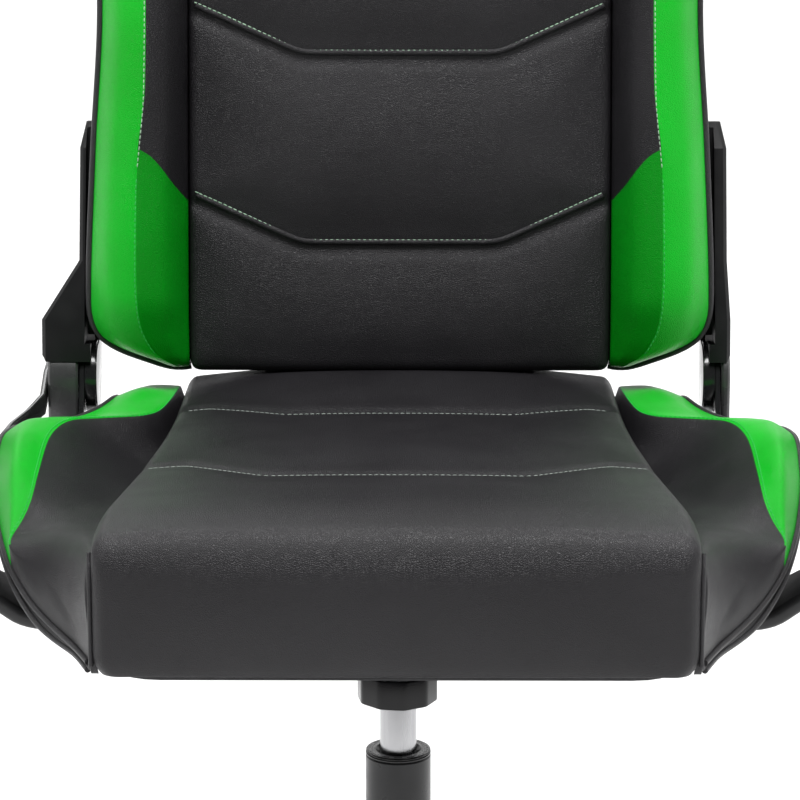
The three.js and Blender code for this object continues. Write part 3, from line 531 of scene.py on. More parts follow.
def run_cloth(frames=20, pressure=4.0):
    """Puffs all the waiting skins out between their pinned seams, together."""
    rest = [np.array([v.co for v in obj.data.vertices]) for obj, _, _ in SOFT]
    for obj, _, _ in SOFT:
        cloth = obj.modifiers.new("Cloth", "CLOTH")
        cloth.settings.quality = 4
        cloth.settings.use_pressure = True
        cloth.settings.uniform_pressure_force = pressure
        cloth.settings.vertex_group_mass = "pin"
        cloth.settings.effector_weights.gravity = 0
        cloth.collision_settings.use_collision = False
        cloth.point_cache.frame_start = 1
        cloth.point_cache.frame_end = frames
    scene = bpy.context.scene
    for number in range(1, frames + 1):
        scene.frame_set(number)
    depsgraph = bpy.context.evaluated_depsgraph_get()
    skins = [obj.evaluated_get(depsgraph).data for obj, _, _ in SOFT]
    puffed = [np.array([v.co for v in skin.vertices]) for skin in skins]
    for (obj, cap, calm), before, after in zip(SOFT, rest, puffed):
        move = after - before
        length = np.linalg.norm(move, axis=1, keepdims=True)
        move = move * np.minimum(1, cap / np.maximum(length, 1e-9))
        after = before + even_out(obj, move, calm)
        obj.modifiers.remove(obj.modifiers["Cloth"])
        obj.data.vertices.foreach_set("co", after.ravel())
        obj.data.update()
    scene.frame_set(1)


def apply_modifiers(obj):
    """Keeps the shape that an object's modifiers give it."""
    depsgraph = bpy.context.evaluated_depsgraph_get()
    mesh = bpy.data.meshes.new_from_object(obj.evaluated_get(depsgraph))
    obj.modifiers.clear()
    obj.data = mesh


def refine_skin(obj):
    """Subdivides a skin once and drops the group that held its seams."""
    modifier = obj.modifiers.new("Subdivision", "SUBSURF")
    modifier.levels = modifier.render_levels = 1
    apply_modifiers(obj)
    obj.vertex_groups.clear()
    obj.data.shade_smooth()


def mirror_copy(obj, name):
    """The same skin on the other side of the chair."""
    mesh = obj.data.copy()
    mesh.name = name
    mesh.transform(((-1, 0, 0, 0), (0, 1, 0, 0), (0, 0, 1, 0), (0, 0, 0, 1)))
    mesh.flip_normals()
    return place(name, mesh)


def paint_faces(obj, chosen, material):
    """Gives the chosen faces a second material."""
    obj.data.materials.append(material)
    index = len(obj.data.materials) - 1
    for polygon in obj.data.polygons:
        if chosen[polygon.index]:
            polygon.material_index = index


def near(values, line, width):
    """1 on a line, falling to 0 at a width away from it."""
    return np.clip(1 - np.abs(np.asarray(values) - line) / width, 0, 1)


def groove(distance, depth, width):
    """Depth of a sewn channel at a distance from its seam."""
    return depth * np.exp(-(distance / width) ** 2)


# ---- seat cushion
def seam_step(x, inner, outer, low, high):
    """Cross seam: level in the middle, then slanting back to the sides."""
    share = np.clip((np.abs(x) - inner) / (outer - inner), 0, 1)
    return low + (high - low) * share


def front_seam(x):
    return seam_step(x, 95, 158, -99, -59)


def rear_seam(x):
    return seam_step(x, 88, 150, 94, 124)


FRONT_SEAM_ROW, REAR_SEAM_ROW = -79.0, 109.0


def shear_rows(x, y):
    """Bends the level rows of the grid so that two of them follow the cross seams."""
    rows = [-235, FRONT_SEAM_ROW, REAR_SEAM_ROW, 205]
    shifts = [0 * x, front_seam(x) - FRONT_SEAM_ROW, rear_seam(x) - REAR_SEAM_ROW, 0 * x]
    shift = np.zeros_like(y)
    for k in range(3):
        share = (y - rows[k]) / (rows[k + 1] - rows[k])
        inside = (share >= 0) & (share <= 1)
        smooth = share * share * (3 - 2 * share)
        shift = np.where(inside, shifts[k] * (1 - smooth) + shifts[k + 1] * smooth, shift)
    return y + shift


CUSHION_FRONT, CUSHION_REAR = -269.0, 243.0
CUSHION_EDGES = (5, 16, 24)  # how far the rounding reaches along x, y and z
CUSHION_PITCH = 6.3
CHANNEL_DEEP, CHANNEL_WIDE = 4.2, 4.5


def seat_cushion():
    """Cover of the cushion: crowned, with two sewn channels, tucked in at the bottom."""
    front, rear = CUSHION_FRONT, CUSHION_REAR
    half = np.array([200.0, (rear - front) / 2, 54.0])
    points, faces = rounded_block(half, CUSHION_EDGES, CUSHION_PITCH)
    u, v, w = (points / half).T
    y = (front + rear) / 2 + points[:, 1]
    row = (rear - front) / int(round(2 * half[1] / CUSHION_PITCH))
    snap = [front + row * round((line - front) / row) for line in (FRONT_SEAM_ROW, REAR_SEAM_ROW)]
    seams = [np.abs(y - line) for line in snap]
    y = shear_rows(u * interpolate(SEAT_HALF, y), y)
    wide = interpolate(SEAT_HALF, y) - 0.6
    top = interpolate(SEAT_TOP, y)
    x = u * wide
    rise = (w + 1) / 2
    z = SEAT_BOTTOM - 12 + (top - 4 - SEAT_BOTTOM + 12) * rise
    upper = np.clip((w - 0.55) / 0.45, 0, 1)
    crown = (5.0 + 4.5 * np.clip(y / 200, 0, 1)) * (1 - np.abs(u) ** 2.4) * upper
    dip = sum(groove(distance, CHANNEL_DEEP, CHANNEL_WIDE) for distance in seams)
    dip = dip * upper * (np.abs(u) < 0.985)
    z = np.maximum(z + crown - dip, SEAT_BOTTOM + 2.4 * np.clip((-y - 150) / 60, 0, 1))
    x = x * (1 - 0.04 * np.clip(1 - (z - SEAT_BOTTOM) / 16, 0, 1) ** 2)
    bulge = np.clip(-v - 0.9, 0, 0.1) * 40 * (1 - np.abs(2 * rise - 1) ** 3)
    y = y - bulge * 0.8
    obj = add_mesh("seat_cushion_cover", np.stack([x, y, z], 1), faces, BLACK_LEATHER, smooth_angle=80)
    nearest = np.minimum.reduce(seams)
    edge = (1 - np.abs(u)) * wide
    mark_seams(obj, np.maximum(near(nearest, 0, 22) * upper, near(edge, 0, 20) * upper * 0.7))
    pinned = (z <= SEAT_BOTTOM + 6) | (np.abs(u) > 0.975) | (v > 0.98)
    pinned = pinned | ((nearest < 1) & (upper > 0.5))
    await_cloth(obj, pinned, 4, 24)
    return obj


# ---- seat wings
def wing_ring(y):
    """Section of a wing: inner wall, slope, green crest, piped edge, outer side, base."""
    inner = float(interpolate(SEAT_HALF, y)) + 0.4
    seam = np.array([interpolate(WING_SEAM_X, y), interpolate(WING_SEAM_Z, y)])
    pipe = np.array([interpolate(PIPE_X, y), interpolate(PIPE_Z, y)])
    foot = interpolate(WING_FOOT, y)
    start = np.array([inner, interpolate(SEAT_TOP, y) - interpolate(VALLEY, y)])
    crest = np.array([seam[0] * 0.45 + pipe[0] * 0.55, max(interpolate(WING_CREST_Z, y), pipe[1] + 3)])
    wall = np.linspace([inner, SEAT_BOTTOM], start, 8, endpoint=False)
    rise = np.linspace(0, 1, 10)[:, None]
    over = np.array([0.25, 1.0]) * np.sin(math.pi * rise) * interpolate(WING_SWELL, y)
    slope = start + (seam - start) * rise + over
    crown = spline([seam, crest, pipe], 11)[1:]
    low = np.array([foot, SEAT_BOTTOM])
    bulge = np.sin(np.linspace(0, math.pi, 10))[:, None] * [5.0, 0]
    side = np.linspace(pipe, low, 10) + bulge
    base = np.linspace(low, [inner, SEAT_BOTTOM], 9, endpoint=False)[1:]
    return np.concatenate([wall, slope, crown, side[1:], base])


WALL, SLOPE, CROWN = 8, 18, 28  # ring columns where the slope, the crown and the side start
WING_ENDS = {-262.5: 0.62, -261.5: 0.82, -259: 0.93, 224.5: 0.9}  # how far the end rings shrink
GREEN_FROM = -124.0  # the green crest starts here


def seat_wing():
    ys = np.concatenate([[-262.5, -261.5, -259], np.arange(-255, 218, 6.0), [220, 223, 224.5]])
    rings = []
    for y in ys:
        section = wing_ring(np.clip(y, -256, 224))
        middle = (section.min(0) + section.max(0)) / 2
        section = middle + (section - middle) * WING_ENDS.get(float(y), 1.0)
        rings.append(np.column_stack([section[:, 0], np.full(len(section), y), section[:, 1]]))
    rings = np.array(rings)
    points, faces = loft(rings)
    obj = add_mesh("seat_wing_cover_left", points, faces, BLACK_LEATHER, smooth_angle=70)
    rows, columns = rings.shape[:2]
    row, column = np.divmod(np.arange(rows * columns), columns)
    seam_row = ys[row] > GREEN_FROM
    on_seam = (column == WALL) | ((column == SLOPE - 1) & seam_row)
    on_seam = on_seam | ((column == CROWN - 1) & (ys[row] > -250))
    ends = (row < 2) | (row > rows - 3)
    pinned = np.append(on_seam | ends | (column < WALL) | (column >= CROWN + 8), [True, True])
    strength = np.maximum(near(column, SLOPE - 1, 3) * seam_row, near(column, CROWN - 1, 2.5))
    mark_seams(obj, np.append(strength * 0.9, [0, 0]))
    chosen = []
    for polygon in obj.data.polygons:
        cells = [v % columns for v in polygon.vertices if v < rows * columns]
        crest = len(polygon.vertices) == 4 and min(cells) >= SLOPE - 1 and max(cells) <= CROWN - 1
        chosen.append(crest and ys[min(polygon.vertices) // columns] >= GREEN_FROM)
    paint_faces(obj, chosen, GREEN_LEATHER)
    await_cloth(obj, pinned, 4)
    return obj


# ---- back: centre pad
PAD_HALF_WIDTH = 169.0
PAD_LOW, PAD_HIGH, PAD_PITCH = 7.0, 750.0, 6.2
PAD_EDGES = (4, 8, 5)
FOLD_DEEP, FOLD_WIDE = 4.6, 4.2


def chevron_rise(x):
    """How far a chevron has climbed at a distance from the middle."""
    return CHEVRON_RISE * np.clip((np.abs(x) - 80) / 86, 0, 1)


def back_pad():
    """Cover of the centre pad, with its rows bent to follow the chevron folds."""
    low, high = PAD_LOW, PAD_HIGH
    half = np.array([PAD_HALF_WIDTH, 22.5, (high - low) / 2])
    points, faces = rounded_block(half, PAD_EDGES, PAD_PITCH)
    u, depth, w = (points / half).T
    s = (low + high) / 2 + points[:, 2]
    row = (high - low) / int(round(2 * half[2] / PAD_PITCH))
    folds = [line - WELT for line in CHEVRONS]
    rows = [low + row * round((fold - low) / row) for fold in folds]
    gaps = [np.abs(s - line) for line in rows]
    s = np.interp(s, [low, *rows, high], [low, *folds, high])
    fade = np.clip((s - low) / 60, 0, 1) * np.clip((high - s) / 150, 0, 1)
    narrow = interpolate(PAD_HALF, s) / PAD_HALF_WIDTH
    s = s + chevron_rise(u * PAD_HALF_WIDTH) * fade
    x = u * interpolate(PAD_HALF, np.clip(s, low, high))
    front = np.clip((-depth - 0.3) / 0.7, 0, 1)
    t = (PAD_FRONT + 8.2) / 2 + points[:, 1]
    crown = 4.0 * (1 - np.abs(u) ** 2.2) * front * narrow
    nearest = np.minimum.reduce(gaps)
    fold = groove(nearest, FOLD_DEEP, FOLD_WIDE) * front
    t = t - crown + fold
    points = from_back(np.stack([x, t, s], 1))
    obj = add_mesh("back_pad_cover", points, faces, BLACK_LEATHER, smooth_angle=80)
    edge = (1 - np.abs(u)) * PAD_HALF_WIDTH
    mark_seams(obj, np.maximum(near(nearest, 0, 22), near(edge, 0, 16) * 0.6) * front)
    pinned = (depth > 0.2) | (np.abs(u) > 0.97) | (np.abs(w) > 0.985)
    pinned = pinned | ((nearest < 1) & (front > 0.5))
    await_cloth(obj, pinned, 7)
    return obj


# ---- back: side bolsters
LEAF_ROW = 165.0
B_FRONT, B_CREST, B_PIPE = 5, 18, 27  # ring columns at the bolster's seams
BOLSTER_ENDS = {10: 0.72, 12: 0.86, 15: 0.95, 750: 0.72, 749: 0.86, 746: 0.94}  # depth kept there


def bolster_ring(s):
    """Section of a bolster as (x, depth): wall, panel, green strip, outer side, rear."""
    inner = float(interpolate(PAD_HALF, s)) + 0.3
    outer = float(interpolate(BACK_HALF, s))
    crest = float(interpolate(CREST_X, s))
    depth = -float(interpolate(CREST_DEPTH, s))
    crest = min(max(crest, inner + 8), outer - 8)
    start = [inner, -33 * min(1, depth / -50)]
    wall = np.linspace([inner, 7.8], start, B_FRONT, endpoint=False)
    panel = spline([start, [inner + (crest - inner) * 0.42, depth * 0.86], [crest, depth]], 14)
    pipe = np.array([outer - 5, depth * 0.5])
    strip = spline([[crest, depth], [crest + (pipe[0] - crest) * 0.6, depth * 0.87], pipe], 10)
    side = spline([pipe, [outer - 0.5, depth * 0.2], [outer - 2, 2], [outer - 6, 7.8]], 7)
    rear = np.linspace([outer - 6, 7.8], [inner, 7.8], 8)[1:-1]
    return np.concatenate([wall, panel, strip[1:], side[1:], rear])


def leaf_shift(x, s):
    """Bends rows near the leaf so that one of them follows its top edge."""
    reach = np.clip(1 - np.abs(s - LEAF_ROW) / 95, 0, 1)
    reach = reach * reach * (3 - 2 * reach)
    return (np.interp(x, *np.array(LEAF_TOP, float).T) - LEAF_ROW) * reach


def back_bolster():
    stations = np.concatenate([[10, 12, 15, 19], np.arange(23, 740, 5.68), [742, 746, 749, 750]])
    leaf = int(np.argmin(np.abs(stations - LEAF_ROW)))
    stations[leaf] = LEAF_ROW
    rings = []
    for s in stations:
        section = bolster_ring(s)
        middle = (section.min(0) + section.max(0)) / 2
        section[:, 1] = middle[1] + (section[:, 1] - middle[1]) * BOLSTER_ENDS.get(float(s), 1.0)
        column = np.arange(len(section))
        share = np.clip(np.minimum(column - 2, B_CREST + 3 - column) / 3, 0, 1)
        height = s + leaf_shift(section[:, 0], s) * share
        rings.append(np.column_stack([section[:, 0], section[:, 1], height]))
    rings = np.array(rings)
    points, faces = loft(rings)
    obj = add_mesh("back_bolster_cover_left", from_back(points), faces, BLACK_LEATHER, smooth_angle=70)
    rows, columns = rings.shape[:2]
    row, column = np.divmod(np.arange(rows * columns), columns)
    on_leaf = (row == leaf) & (column >= B_FRONT) & (column <= B_CREST)
    on_seam = np.isin(column, (B_FRONT, B_CREST, B_PIPE)) | on_leaf
    end_rows = (row < 3) | (row > rows - 4)
    pinned = np.append(on_seam | end_rows | (column < B_FRONT) | (column > B_PIPE), [True, True])
    by_leaf = near(row, leaf, 4) * (column >= B_FRONT) * (column < B_CREST)
    strength = np.maximum(near(column, B_CREST, 3), by_leaf)
    mark_seams(obj, np.append(np.maximum(strength, near(column, B_PIPE, 2) * 0.5), [0, 0]))
    strips, painted_shade_leaves = [], []
    for polygon in obj.data.polygons:
        corner = [v for v in polygon.vertices if v < rows * columns]
        cells = [v % columns for v in corner]
        level = min(v // columns for v in corner)
        quad = len(polygon.vertices) == 4 and max(cells) - min(cells) == 1
        strips.append(quad and min(cells) >= B_CREST and max(cells) <= B_PIPE)
        painted_shade_leaves.append(quad and min(cells) >= B_FRONT and max(cells) <= B_CREST and level < leaf)
    paint_faces(obj, strips, GREEN_LEATHER)
    # The leaf panel below its seam is green leatherette; the darker green copy given to it is painted shade.
    paint_faces(obj, painted_shade_leaves, SHADED_GREEN_LEATHER)
    await_cloth(obj, pinned, 5)
    return obj


# ---- back: upholstered rear
SHELL_FRONT, SHELL_THICK, SHELL_SEAM = 8.8, 33.0, 46  # the seam is this far in from the sides
SHELL_SEAM_LOW, SHELL_SEAM_HIGH = 60, 697
SHELL_ENDS = {13: 0.55, 15: 0.75, 18: 0.88, 22: 0.96, 745: 0.55, 743: 0.75, 740: 0.88, 736: 0.96}


def shell_columns(half):
    """Positions across the shell, close together at the rims and even between the seams."""
    rim, seam = half - 10, half - SHELL_SEAM
    left = np.concatenate([np.linspace(-half, -rim, 5), np.linspace(-rim, -seam, 8)[1:-1]])
    right = np.concatenate([np.linspace(seam, rim, 8)[1:-1], np.linspace(rim, half, 5)])
    return np.concatenate([left, np.linspace(-seam, seam, 41), right])


def shell_seam_gap(x, s, half):
    """Distance from the sewn rectangle on the rear of the back."""
    inward = half - np.abs(x)
    gap = np.abs(inward - SHELL_SEAM)
    ends = np.minimum(np.abs(s - SHELL_SEAM_LOW - 2), np.abs(s - SHELL_SEAM_HIGH + 2))
    if s < SHELL_SEAM_LOW or s > SHELL_SEAM_HIGH:
        return np.full_like(x, ends)
    within = (inward > SHELL_SEAM - 1) & (s > SHELL_SEAM_LOW) & (s < SHELL_SEAM_HIGH)
    return np.where(within, np.minimum(gap, ends), gap)


def back_shell():
    stations = np.concatenate([[13, 15, 18, 22], np.arange(27, 732, 6.0), [736, 740, 743, 745]])
    rings = []
    seam = []
    for s in stations:
        half = float(interpolate(BACK_HALF, s)) - 4
        x = shell_columns(half)
        edge = np.clip((half - np.abs(x)) / 16, 0, 1)
        thick = SHELL_THICK * SHELL_ENDS.get(float(s), 1.0)
        t = SHELL_FRONT + thick * np.sqrt(np.clip(1 - (1 - edge) ** 2, 0, 1)) ** 0.8
        line = shell_seam_gap(x, s, half)
        t = t - groove(line, 3.2, 4.0) * (edge >= 1)
        front = np.linspace(half, -half, 14)[1:-1]
        rear = np.column_stack([x, t, np.full_like(x, s)])
        face = np.column_stack([front, np.full_like(front, SHELL_FRONT), np.full_like(front, s)])
        rings.append(np.concatenate([rear, face]))
        seam.append(np.concatenate([near(line, 0, 16) * (edge >= 1), np.zeros(len(front))]))
    points, faces = loft(np.array(rings))
    obj = add_mesh("back_rear_cover", from_back(points), faces, BLACK_LEATHER, smooth_angle=60)
    mark_seams(obj, np.append(np.array(seam).ravel(), [0, 0]))
    return obj


# ---- back: harness openings
HARNESS_X, HARNESS_S, HARNESS_SLANT = 80.0, 608.0, 0.2
HARNESS_WIDE, HARNESS_HIGH = 38.0, 19.0
BEZEL = [(-4, -39), (-2.6, -41.4), (0, -42), (3.4, -41.2), (5, -39.4), (4.6, -38.2), (0.2, -38.2),
         (0, -30), (0, 38), (0.2, 42.6), (4.6, 42.6), (5, 43.6), (3.4, 45.2), (0, 45.4),
         (-2.6, 45), (-4, 43)]  # (growth of the oval, depth)


def harness_ring(angles, grow, depth, side):
    """The slanted oval of one side at one depth, in the back's own coordinates."""
    x, s = harness_point(angles, grow, side)
    return np.column_stack([x, np.full_like(x, depth), s])


def harness_point(angle, grow, side):
    across = (HARNESS_WIDE + grow) * np.cos(angle)
    up = (HARNESS_HIGH + grow) * np.sin(angle)
    x = HARNESS_X + across * math.cos(HARNESS_SLANT) + up * math.sin(HARNESS_SLANT)
    s = HARNESS_S - across * math.sin(HARNESS_SLANT) + up * math.cos(HARNESS_SLANT)
    return x * side, s


def cut_harness_slots(obj):
    """Cuts the two slanted ovals through a skin of the back."""
    angles = np.linspace(0, 2 * math.pi, 64, endpoint=False)
    for _, side in SIDES:
        rings = [harness_ring(angles, 0.6, depth, side) for depth in (-90, 90)]
        points, faces = loft(np.array(rings))
        cutter = add_mesh("cutter", from_back(points), faces, PIPING)
        modifier = obj.modifiers.new("Slot", "BOOLEAN")
        modifier.operation = "DIFFERENCE"
        modifier.object = cutter
        modifier.solver = "EXACT"
        apply_modifiers(obj)
        bpy.data.objects.remove(cutter)


def harness_bezel(name, side):
    angles = np.linspace(0, 2 * math.pi, 96, endpoint=False)
    rings = np.array([harness_ring(angles, grow, depth, side) for grow, depth in BEZEL])
    faces = grid_faces(len(BEZEL), len(angles), wrap_rows=True)
    obj = add_mesh("harness_ring_" + name, from_back(rings.reshape(-1, 3)), faces, PLASTIC, smooth_angle=50)
    return settle(obj, "backrest", "plastic_black", "harness_bezel_" + name)


# ---- turned and swept hard parts
def turned(name, profile, material, center=(0, 0), sides=96, smooth_angle=35, along="z", shift=0.0):
    """Solid of revolution from (radius, height) points, the last joined back to the first."""
    points = []
    for radius, height in profile:
        for a in np.linspace(0, 2 * math.pi, sides, endpoint=False):
            first = radius * math.cos(a) + center[0]
            second = radius * math.sin(a) + center[1]
            upright = (first, second, height)
            points.append((height + shift, first, second) if along == "x" else upright)
    faces = grid_faces(len(profile), sides, wrap_rows=True)
    obj = add_mesh(name, points, faces, material, smooth_angle=smooth_angle)
    bm = bmesh.new()
    bm.from_mesh(obj.data)
    bmesh.ops.remove_doubles(bm, verts=bm.verts, dist=1e-6)
    bmesh.ops.dissolve_degenerate(bm, dist=1e-6, edges=bm.edges)
    bmesh.ops.recalc_face_normals(bm, faces=bm.faces)
    bm.to_mesh(obj.data)
    bm.free()
    obj.data.set_sharp_from_angle(angle=math.radians(smooth_angle))
    return obj


def swept(name, path, wide, thick, corner, material, wide_axis, closed=False, side=1):
    """Rounded bar along a flat path; wide_axis is the direction square to the path's plane."""
    path = np.asarray(path, float)
    if closed:
        tangent = np.roll(path, -1, 0) - np.roll(path, 1, 0)
    else:
        tangent = np.gradient(path, axis=0)
    tangent /= np.linalg.norm(tangent, axis=1, keepdims=True)
    normal = np.cross(tangent, wide_axis)
    outline = []
    for cx, cy, start in ((1, 1, 0), (-1, 1, 90), (-1, -1, 180), (1, -1, 270)):
        for a in np.radians(np.linspace(start, start + 90, 5)):
            outline.append((cx * (wide / 2 - corner) + corner * math.cos(a),
                            cy * (thick / 2 - corner) + corner * math.sin(a)))
    wide_axis = np.array(wide_axis)
    rings = np.array([[p + wide_axis * a + n * b for a, b in outline] for p, n in zip(path, normal)])
    if closed:
        points, faces = rings.reshape(-1, 3), grid_faces(len(path), len(outline), wrap_rows=True)
    else:
        points, faces = loft(rings)
    return add_mesh(name, points, faces, material, side=side, smooth_angle=40)


def round_path(corners, radius, pitch=4.0, closed=True):
    """Polygon with each corner rounded by a curve that starts radius away from it."""
    corners = [np.array(c, float) for c in corners]
    count = len(corners)
    path = []
    for i, here in enumerate(corners):
        if not closed and i in (0, count - 1):
            path.append(here)
            continue
        before, after = corners[i - 1], corners[(i + 1) % count]
        start = here + (before - here) * min(0.49, radius / np.linalg.norm(before - here))
        end = here + (after - here) * min(0.49, radius / np.linalg.norm(after - here))
        for t in np.linspace(0, 1, 10):
            path.append((1 - t) ** 2 * start + 2 * t * (1 - t) * here + t * t * end)
    if closed:
        path.append(path[0])
    path = resample(path, pitch)
    return path[:-1] if closed else path


def join_pieces(name, pieces):
    """Puts several meshes of one piece into one object."""
    bm = bmesh.new()
    materials = []
    for piece in pieces:
        start = len(bm.faces)
        bm.from_mesh(piece.data)
        bm.faces.ensure_lookup_table()
        material = piece.data.materials[0]
        if material not in materials:
            materials.append(material)
        for k in range(start, len(bm.faces)):
            bm.faces[k].material_index = materials.index(material)
    mesh = bpy.data.meshes.new(name)
    bm.to_mesh(mesh)
    bm.free()
    for material in materials:
        mesh.materials.append(material)
    for piece in pieces:
        bpy.data.objects.remove(piece)
    return place(name, mesh)


BODY_OF = {node: body for body, nodes in frame["record"]["behaviour"]["bodies"].items() for node in nodes}


def refine(node, material, slot, edge, segments=3, flat=1.5, sharp=28):
    """Copies a CAD solid and gives it the rounded edges of the real moulding or pressing."""
    mesh = frame["nodes"][node].data.copy()
    bm = bmesh.new()
    bm.from_mesh(mesh)
    bmesh.ops.remove_doubles(bm, verts=bm.verts, dist=2e-5)
    bmesh.ops.dissolve_limit(bm, angle_limit=math.radians(flat), verts=bm.verts, edges=bm.edges)
    bm.to_mesh(mesh)
    bm.free()
    mesh.materials.clear()
    mesh.materials.append(material)
    obj = place(node + "_finished", mesh)
    modifier = obj.modifiers.new("Bevel", "BEVEL")
    modifier.width = edge * MM
    modifier.segments = segments
    modifier.limit_method = "ANGLE"
    modifier.angle_limit = math.radians(sharp)
    modifier.use_clamp_overlap = True
    modifier.harden_normals = False
    apply_modifiers(obj)
    obj.data.shade_smooth()
    obj.data.set_sharp_from_angle(angle=math.radians(38))
    return settle(obj, BODY_OF[node], slot, node)


# ---- base, castors and gas lift
CASTORS = 5
CASTOR_CIRCLE, CASTOR_TRAIL, AXLE_Z = 310.0, 22.0, 30.0
WHEEL = [(3.9, 10.8), (27, 10.8), (29.2, 11.6), (30, 13.5), (30, 24.5), (29.2, 26.8), (27.5, 28.3),
         (25, 28.5), (23, 27.4), (14, 26.6), (12.5, 27.8), (9, 28.4), (3.9, 28.4)]


def castor_wheel(name, side, stem_x, stem_y):
    profile = [(radius, x * side) for radius, x in WHEEL]
    return turned(name, profile, TREAD, (stem_y + CASTOR_TRAIL, AXLE_Z), 72, 40, "x", stem_x)


def base():
    refine("base_star", PLASTIC, "plastic_black", 3.0, 4)
    for i in range(CASTORS):
        angle = -math.pi / 2 + 2 * math.pi * i / CASTORS
        x, y = CASTOR_CIRCLE * math.cos(angle), CASTOR_CIRCLE * math.sin(angle)
        body = "castor_%d" % (i + 1)
        refine(body + "_housing", PLASTIC, "plastic_black", 0.9, 2, flat=0.5)
        refine(body + "_stem", ZINC, "steel_bright", 0.6, 2, flat=0.5)
        for name, side in SIDES:
            wheel = castor_wheel("%s_tread_%s" % (body, name), side, x, y)
            settle(wheel, "%s_wheel_%s" % (body, name), "wheel_black", "%s_wheel_%s" % (body, name))


COLUMN = [(5.4, 60), (23.5, 60), (25, 61.5), (25, 305), (24.2, 306), (22.5, 306), (22.5, 64), (5.4, 64)]
BUSH = [(14.4, 230), (22.1, 230), (22.1, 306.3), (24, 306.3), (24.9, 306.7), (25, 307.6), (24.6, 308),
        (24.1, 308.1), (24.1, 308.5), (24.7, 308.6), (24.9, 309.1), (24.4, 309.8), (23.6, 310),
        (18.4, 310), (17.6, 309.8), (15.4, 307.2), (14.4, 306.2)]
BUSH_RING = [(19.9, 309.7), (23.7, 309.7), (23.7, 310.08), (19.9, 310.08)]
BUSH_SLOT = [(21.2, 309.8), (22.9, 309.8), (22.9, 310.2), (21.2, 310.2)]
BUSH_SLOTS = 14
CYLINDER = [(0.01, 404), (11, 404), (13, 403), (14, 401), (14, 152), (13, 150), (5.6, 150), (5.6, 286),
            (0.01, 286)]
ROD = [(0.01, 53.6), (8, 53.6), (9, 54.6), (9, 59.6), (5, 59.6), (5, 249), (4, 250), (0.01, 250)]
VALVE_PIN = [(0.01, 399), (3.6, 399), (4, 399.5), (4, 410.5), (3, 412), (0.01, 412)]


def bush_slot(number):
    """One slot on the face of the guide bush, as a short curved bar in the bush's black; it shows dark only
    against the painted highlight on the face.
    """
    middle = 2 * math.pi * (number + 0.5) / BUSH_SLOTS
    turn = np.linspace(-0.14, 0.14, 9) + middle
    rings = [[(r * math.cos(a), r * math.sin(a), z) for r, z in BUSH_SLOT] for a in turn]
    points, faces = loft(np.array(rings))
    return add_mesh("slot", points, faces, BUSH_PLASTIC)


def gas_lift():
    settle(turned("column_tube", COLUMN, SATIN_STEEL), "base", "steel_black", "gas_column")
    slots = [bush_slot(number) for number in range(BUSH_SLOTS)]
    # The thin top ring is painted pale grey as a highlight; the bush itself is black.
    face = turned("face", BUSH_RING, BUSH_FACE_PAINTED_HIGHLIGHT)
    bush = join_pieces("guide_bush_ring", [turned("bush", BUSH, BUSH_PLASTIC), face] + slots)
    bush.data.set_sharp_from_angle(angle=math.radians(35))
    settle(bush, "base", "plastic_black", "column_guide_bush")
    settle(turned("cylinder_tube", CYLINDER, CHROME), "lift", "chrome", "gas_cylinder")
    settle(turned("rod", ROD, ZINC, sides=48), "piston", "steel_bright", "piston_rod")
    settle(turned("valve_pin", VALVE_PIN, ZINC, sides=32), "release", "steel_bright", "release_pin")


# ---- mechanism
KNOB_Y, KNOB_RADIUS, KNOB_LOW, KNOB_HIGH = -115.0, 30.0, 391.0, 413.0
KNOB_SIDES = 10
KNOB_PROFILE = [(5.6, KNOB_LOW, 0), (12, KNOB_LOW, 0), (24, KNOB_LOW, 0.6), (29.0, KNOB_LOW, 1),
                (29.8, KNOB_LOW + 0.5, 1), (30, KNOB_LOW + 1.5, 1), (30, KNOB_HIGH - 1.5, 1),
                (29.5, KNOB_HIGH - 0.4, 1), (28.6, KNOB_HIGH, 1), (24, KNOB_HIGH, 0),
                (23, KNOB_HIGH - 1.4, 0), (23, KNOB_LOW + 4, 0),
                (5.6, KNOB_LOW + 4, 0)]  # (radius, height, how far it follows the flats)
COIL_TURNS, COIL_RADIUS, COIL_WIRE, COIL_HIGH = 4.5, 16, 1.9, 428.0


def tension_knob():
    """Ten-sided cup, its well open upwards for the spring."""
    corners = []
    for k in range(KNOB_SIDES):
        angle = 2 * math.pi * k / KNOB_SIDES - math.pi / 2 + math.radians(10)
        corners.append((KNOB_RADIUS * math.cos(angle), KNOB_RADIUS * math.sin(angle), 0))
    rim = round_path(corners, 2.6, 1.2)[:, :2]
    reach = np.linalg.norm(rim, axis=1)
    circle = rim / reach[:, None]
    rings = []
    for radius, z, faceted in KNOB_PROFILE:
        r = radius * (faceted * reach / KNOB_RADIUS + 1 - faceted)
        x, y = circle[:, 0] * r, KNOB_Y + circle[:, 1] * r
        rings.append(np.column_stack([x, y, np.full(len(rim), z)]))
    faces = grid_faces(len(KNOB_PROFILE), len(rim), wrap_rows=True)
    points = np.array(rings).reshape(-1, 3)
    obj = add_mesh("tension_knob_grip", points, faces, KNOB_PLASTIC, smooth_angle=25)
    return settle(obj, "knob", "plastic_black", "tension_knob")


def tilt_coil():
    """Spring in the well of the knob; tilting the seat lifts its lower end."""
    low = KNOB_LOW + 12.2
    t = np.linspace(0, 1, 240)
    angle = 2 * math.pi * COIL_TURNS * t
    helix = np.column_stack([COIL_RADIUS * np.cos(angle), KNOB_Y + COIL_RADIUS * np.sin(angle),
                             low + (COIL_HIGH - low) * t])
    points, faces = loft(tube_points(helix, COIL_WIRE, 12))
    coil = add_mesh("tilt_coil", points, faces, ZINC)
    settle(coil, "lift", "steel_bright", "tilt_spring")
    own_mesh(coil)


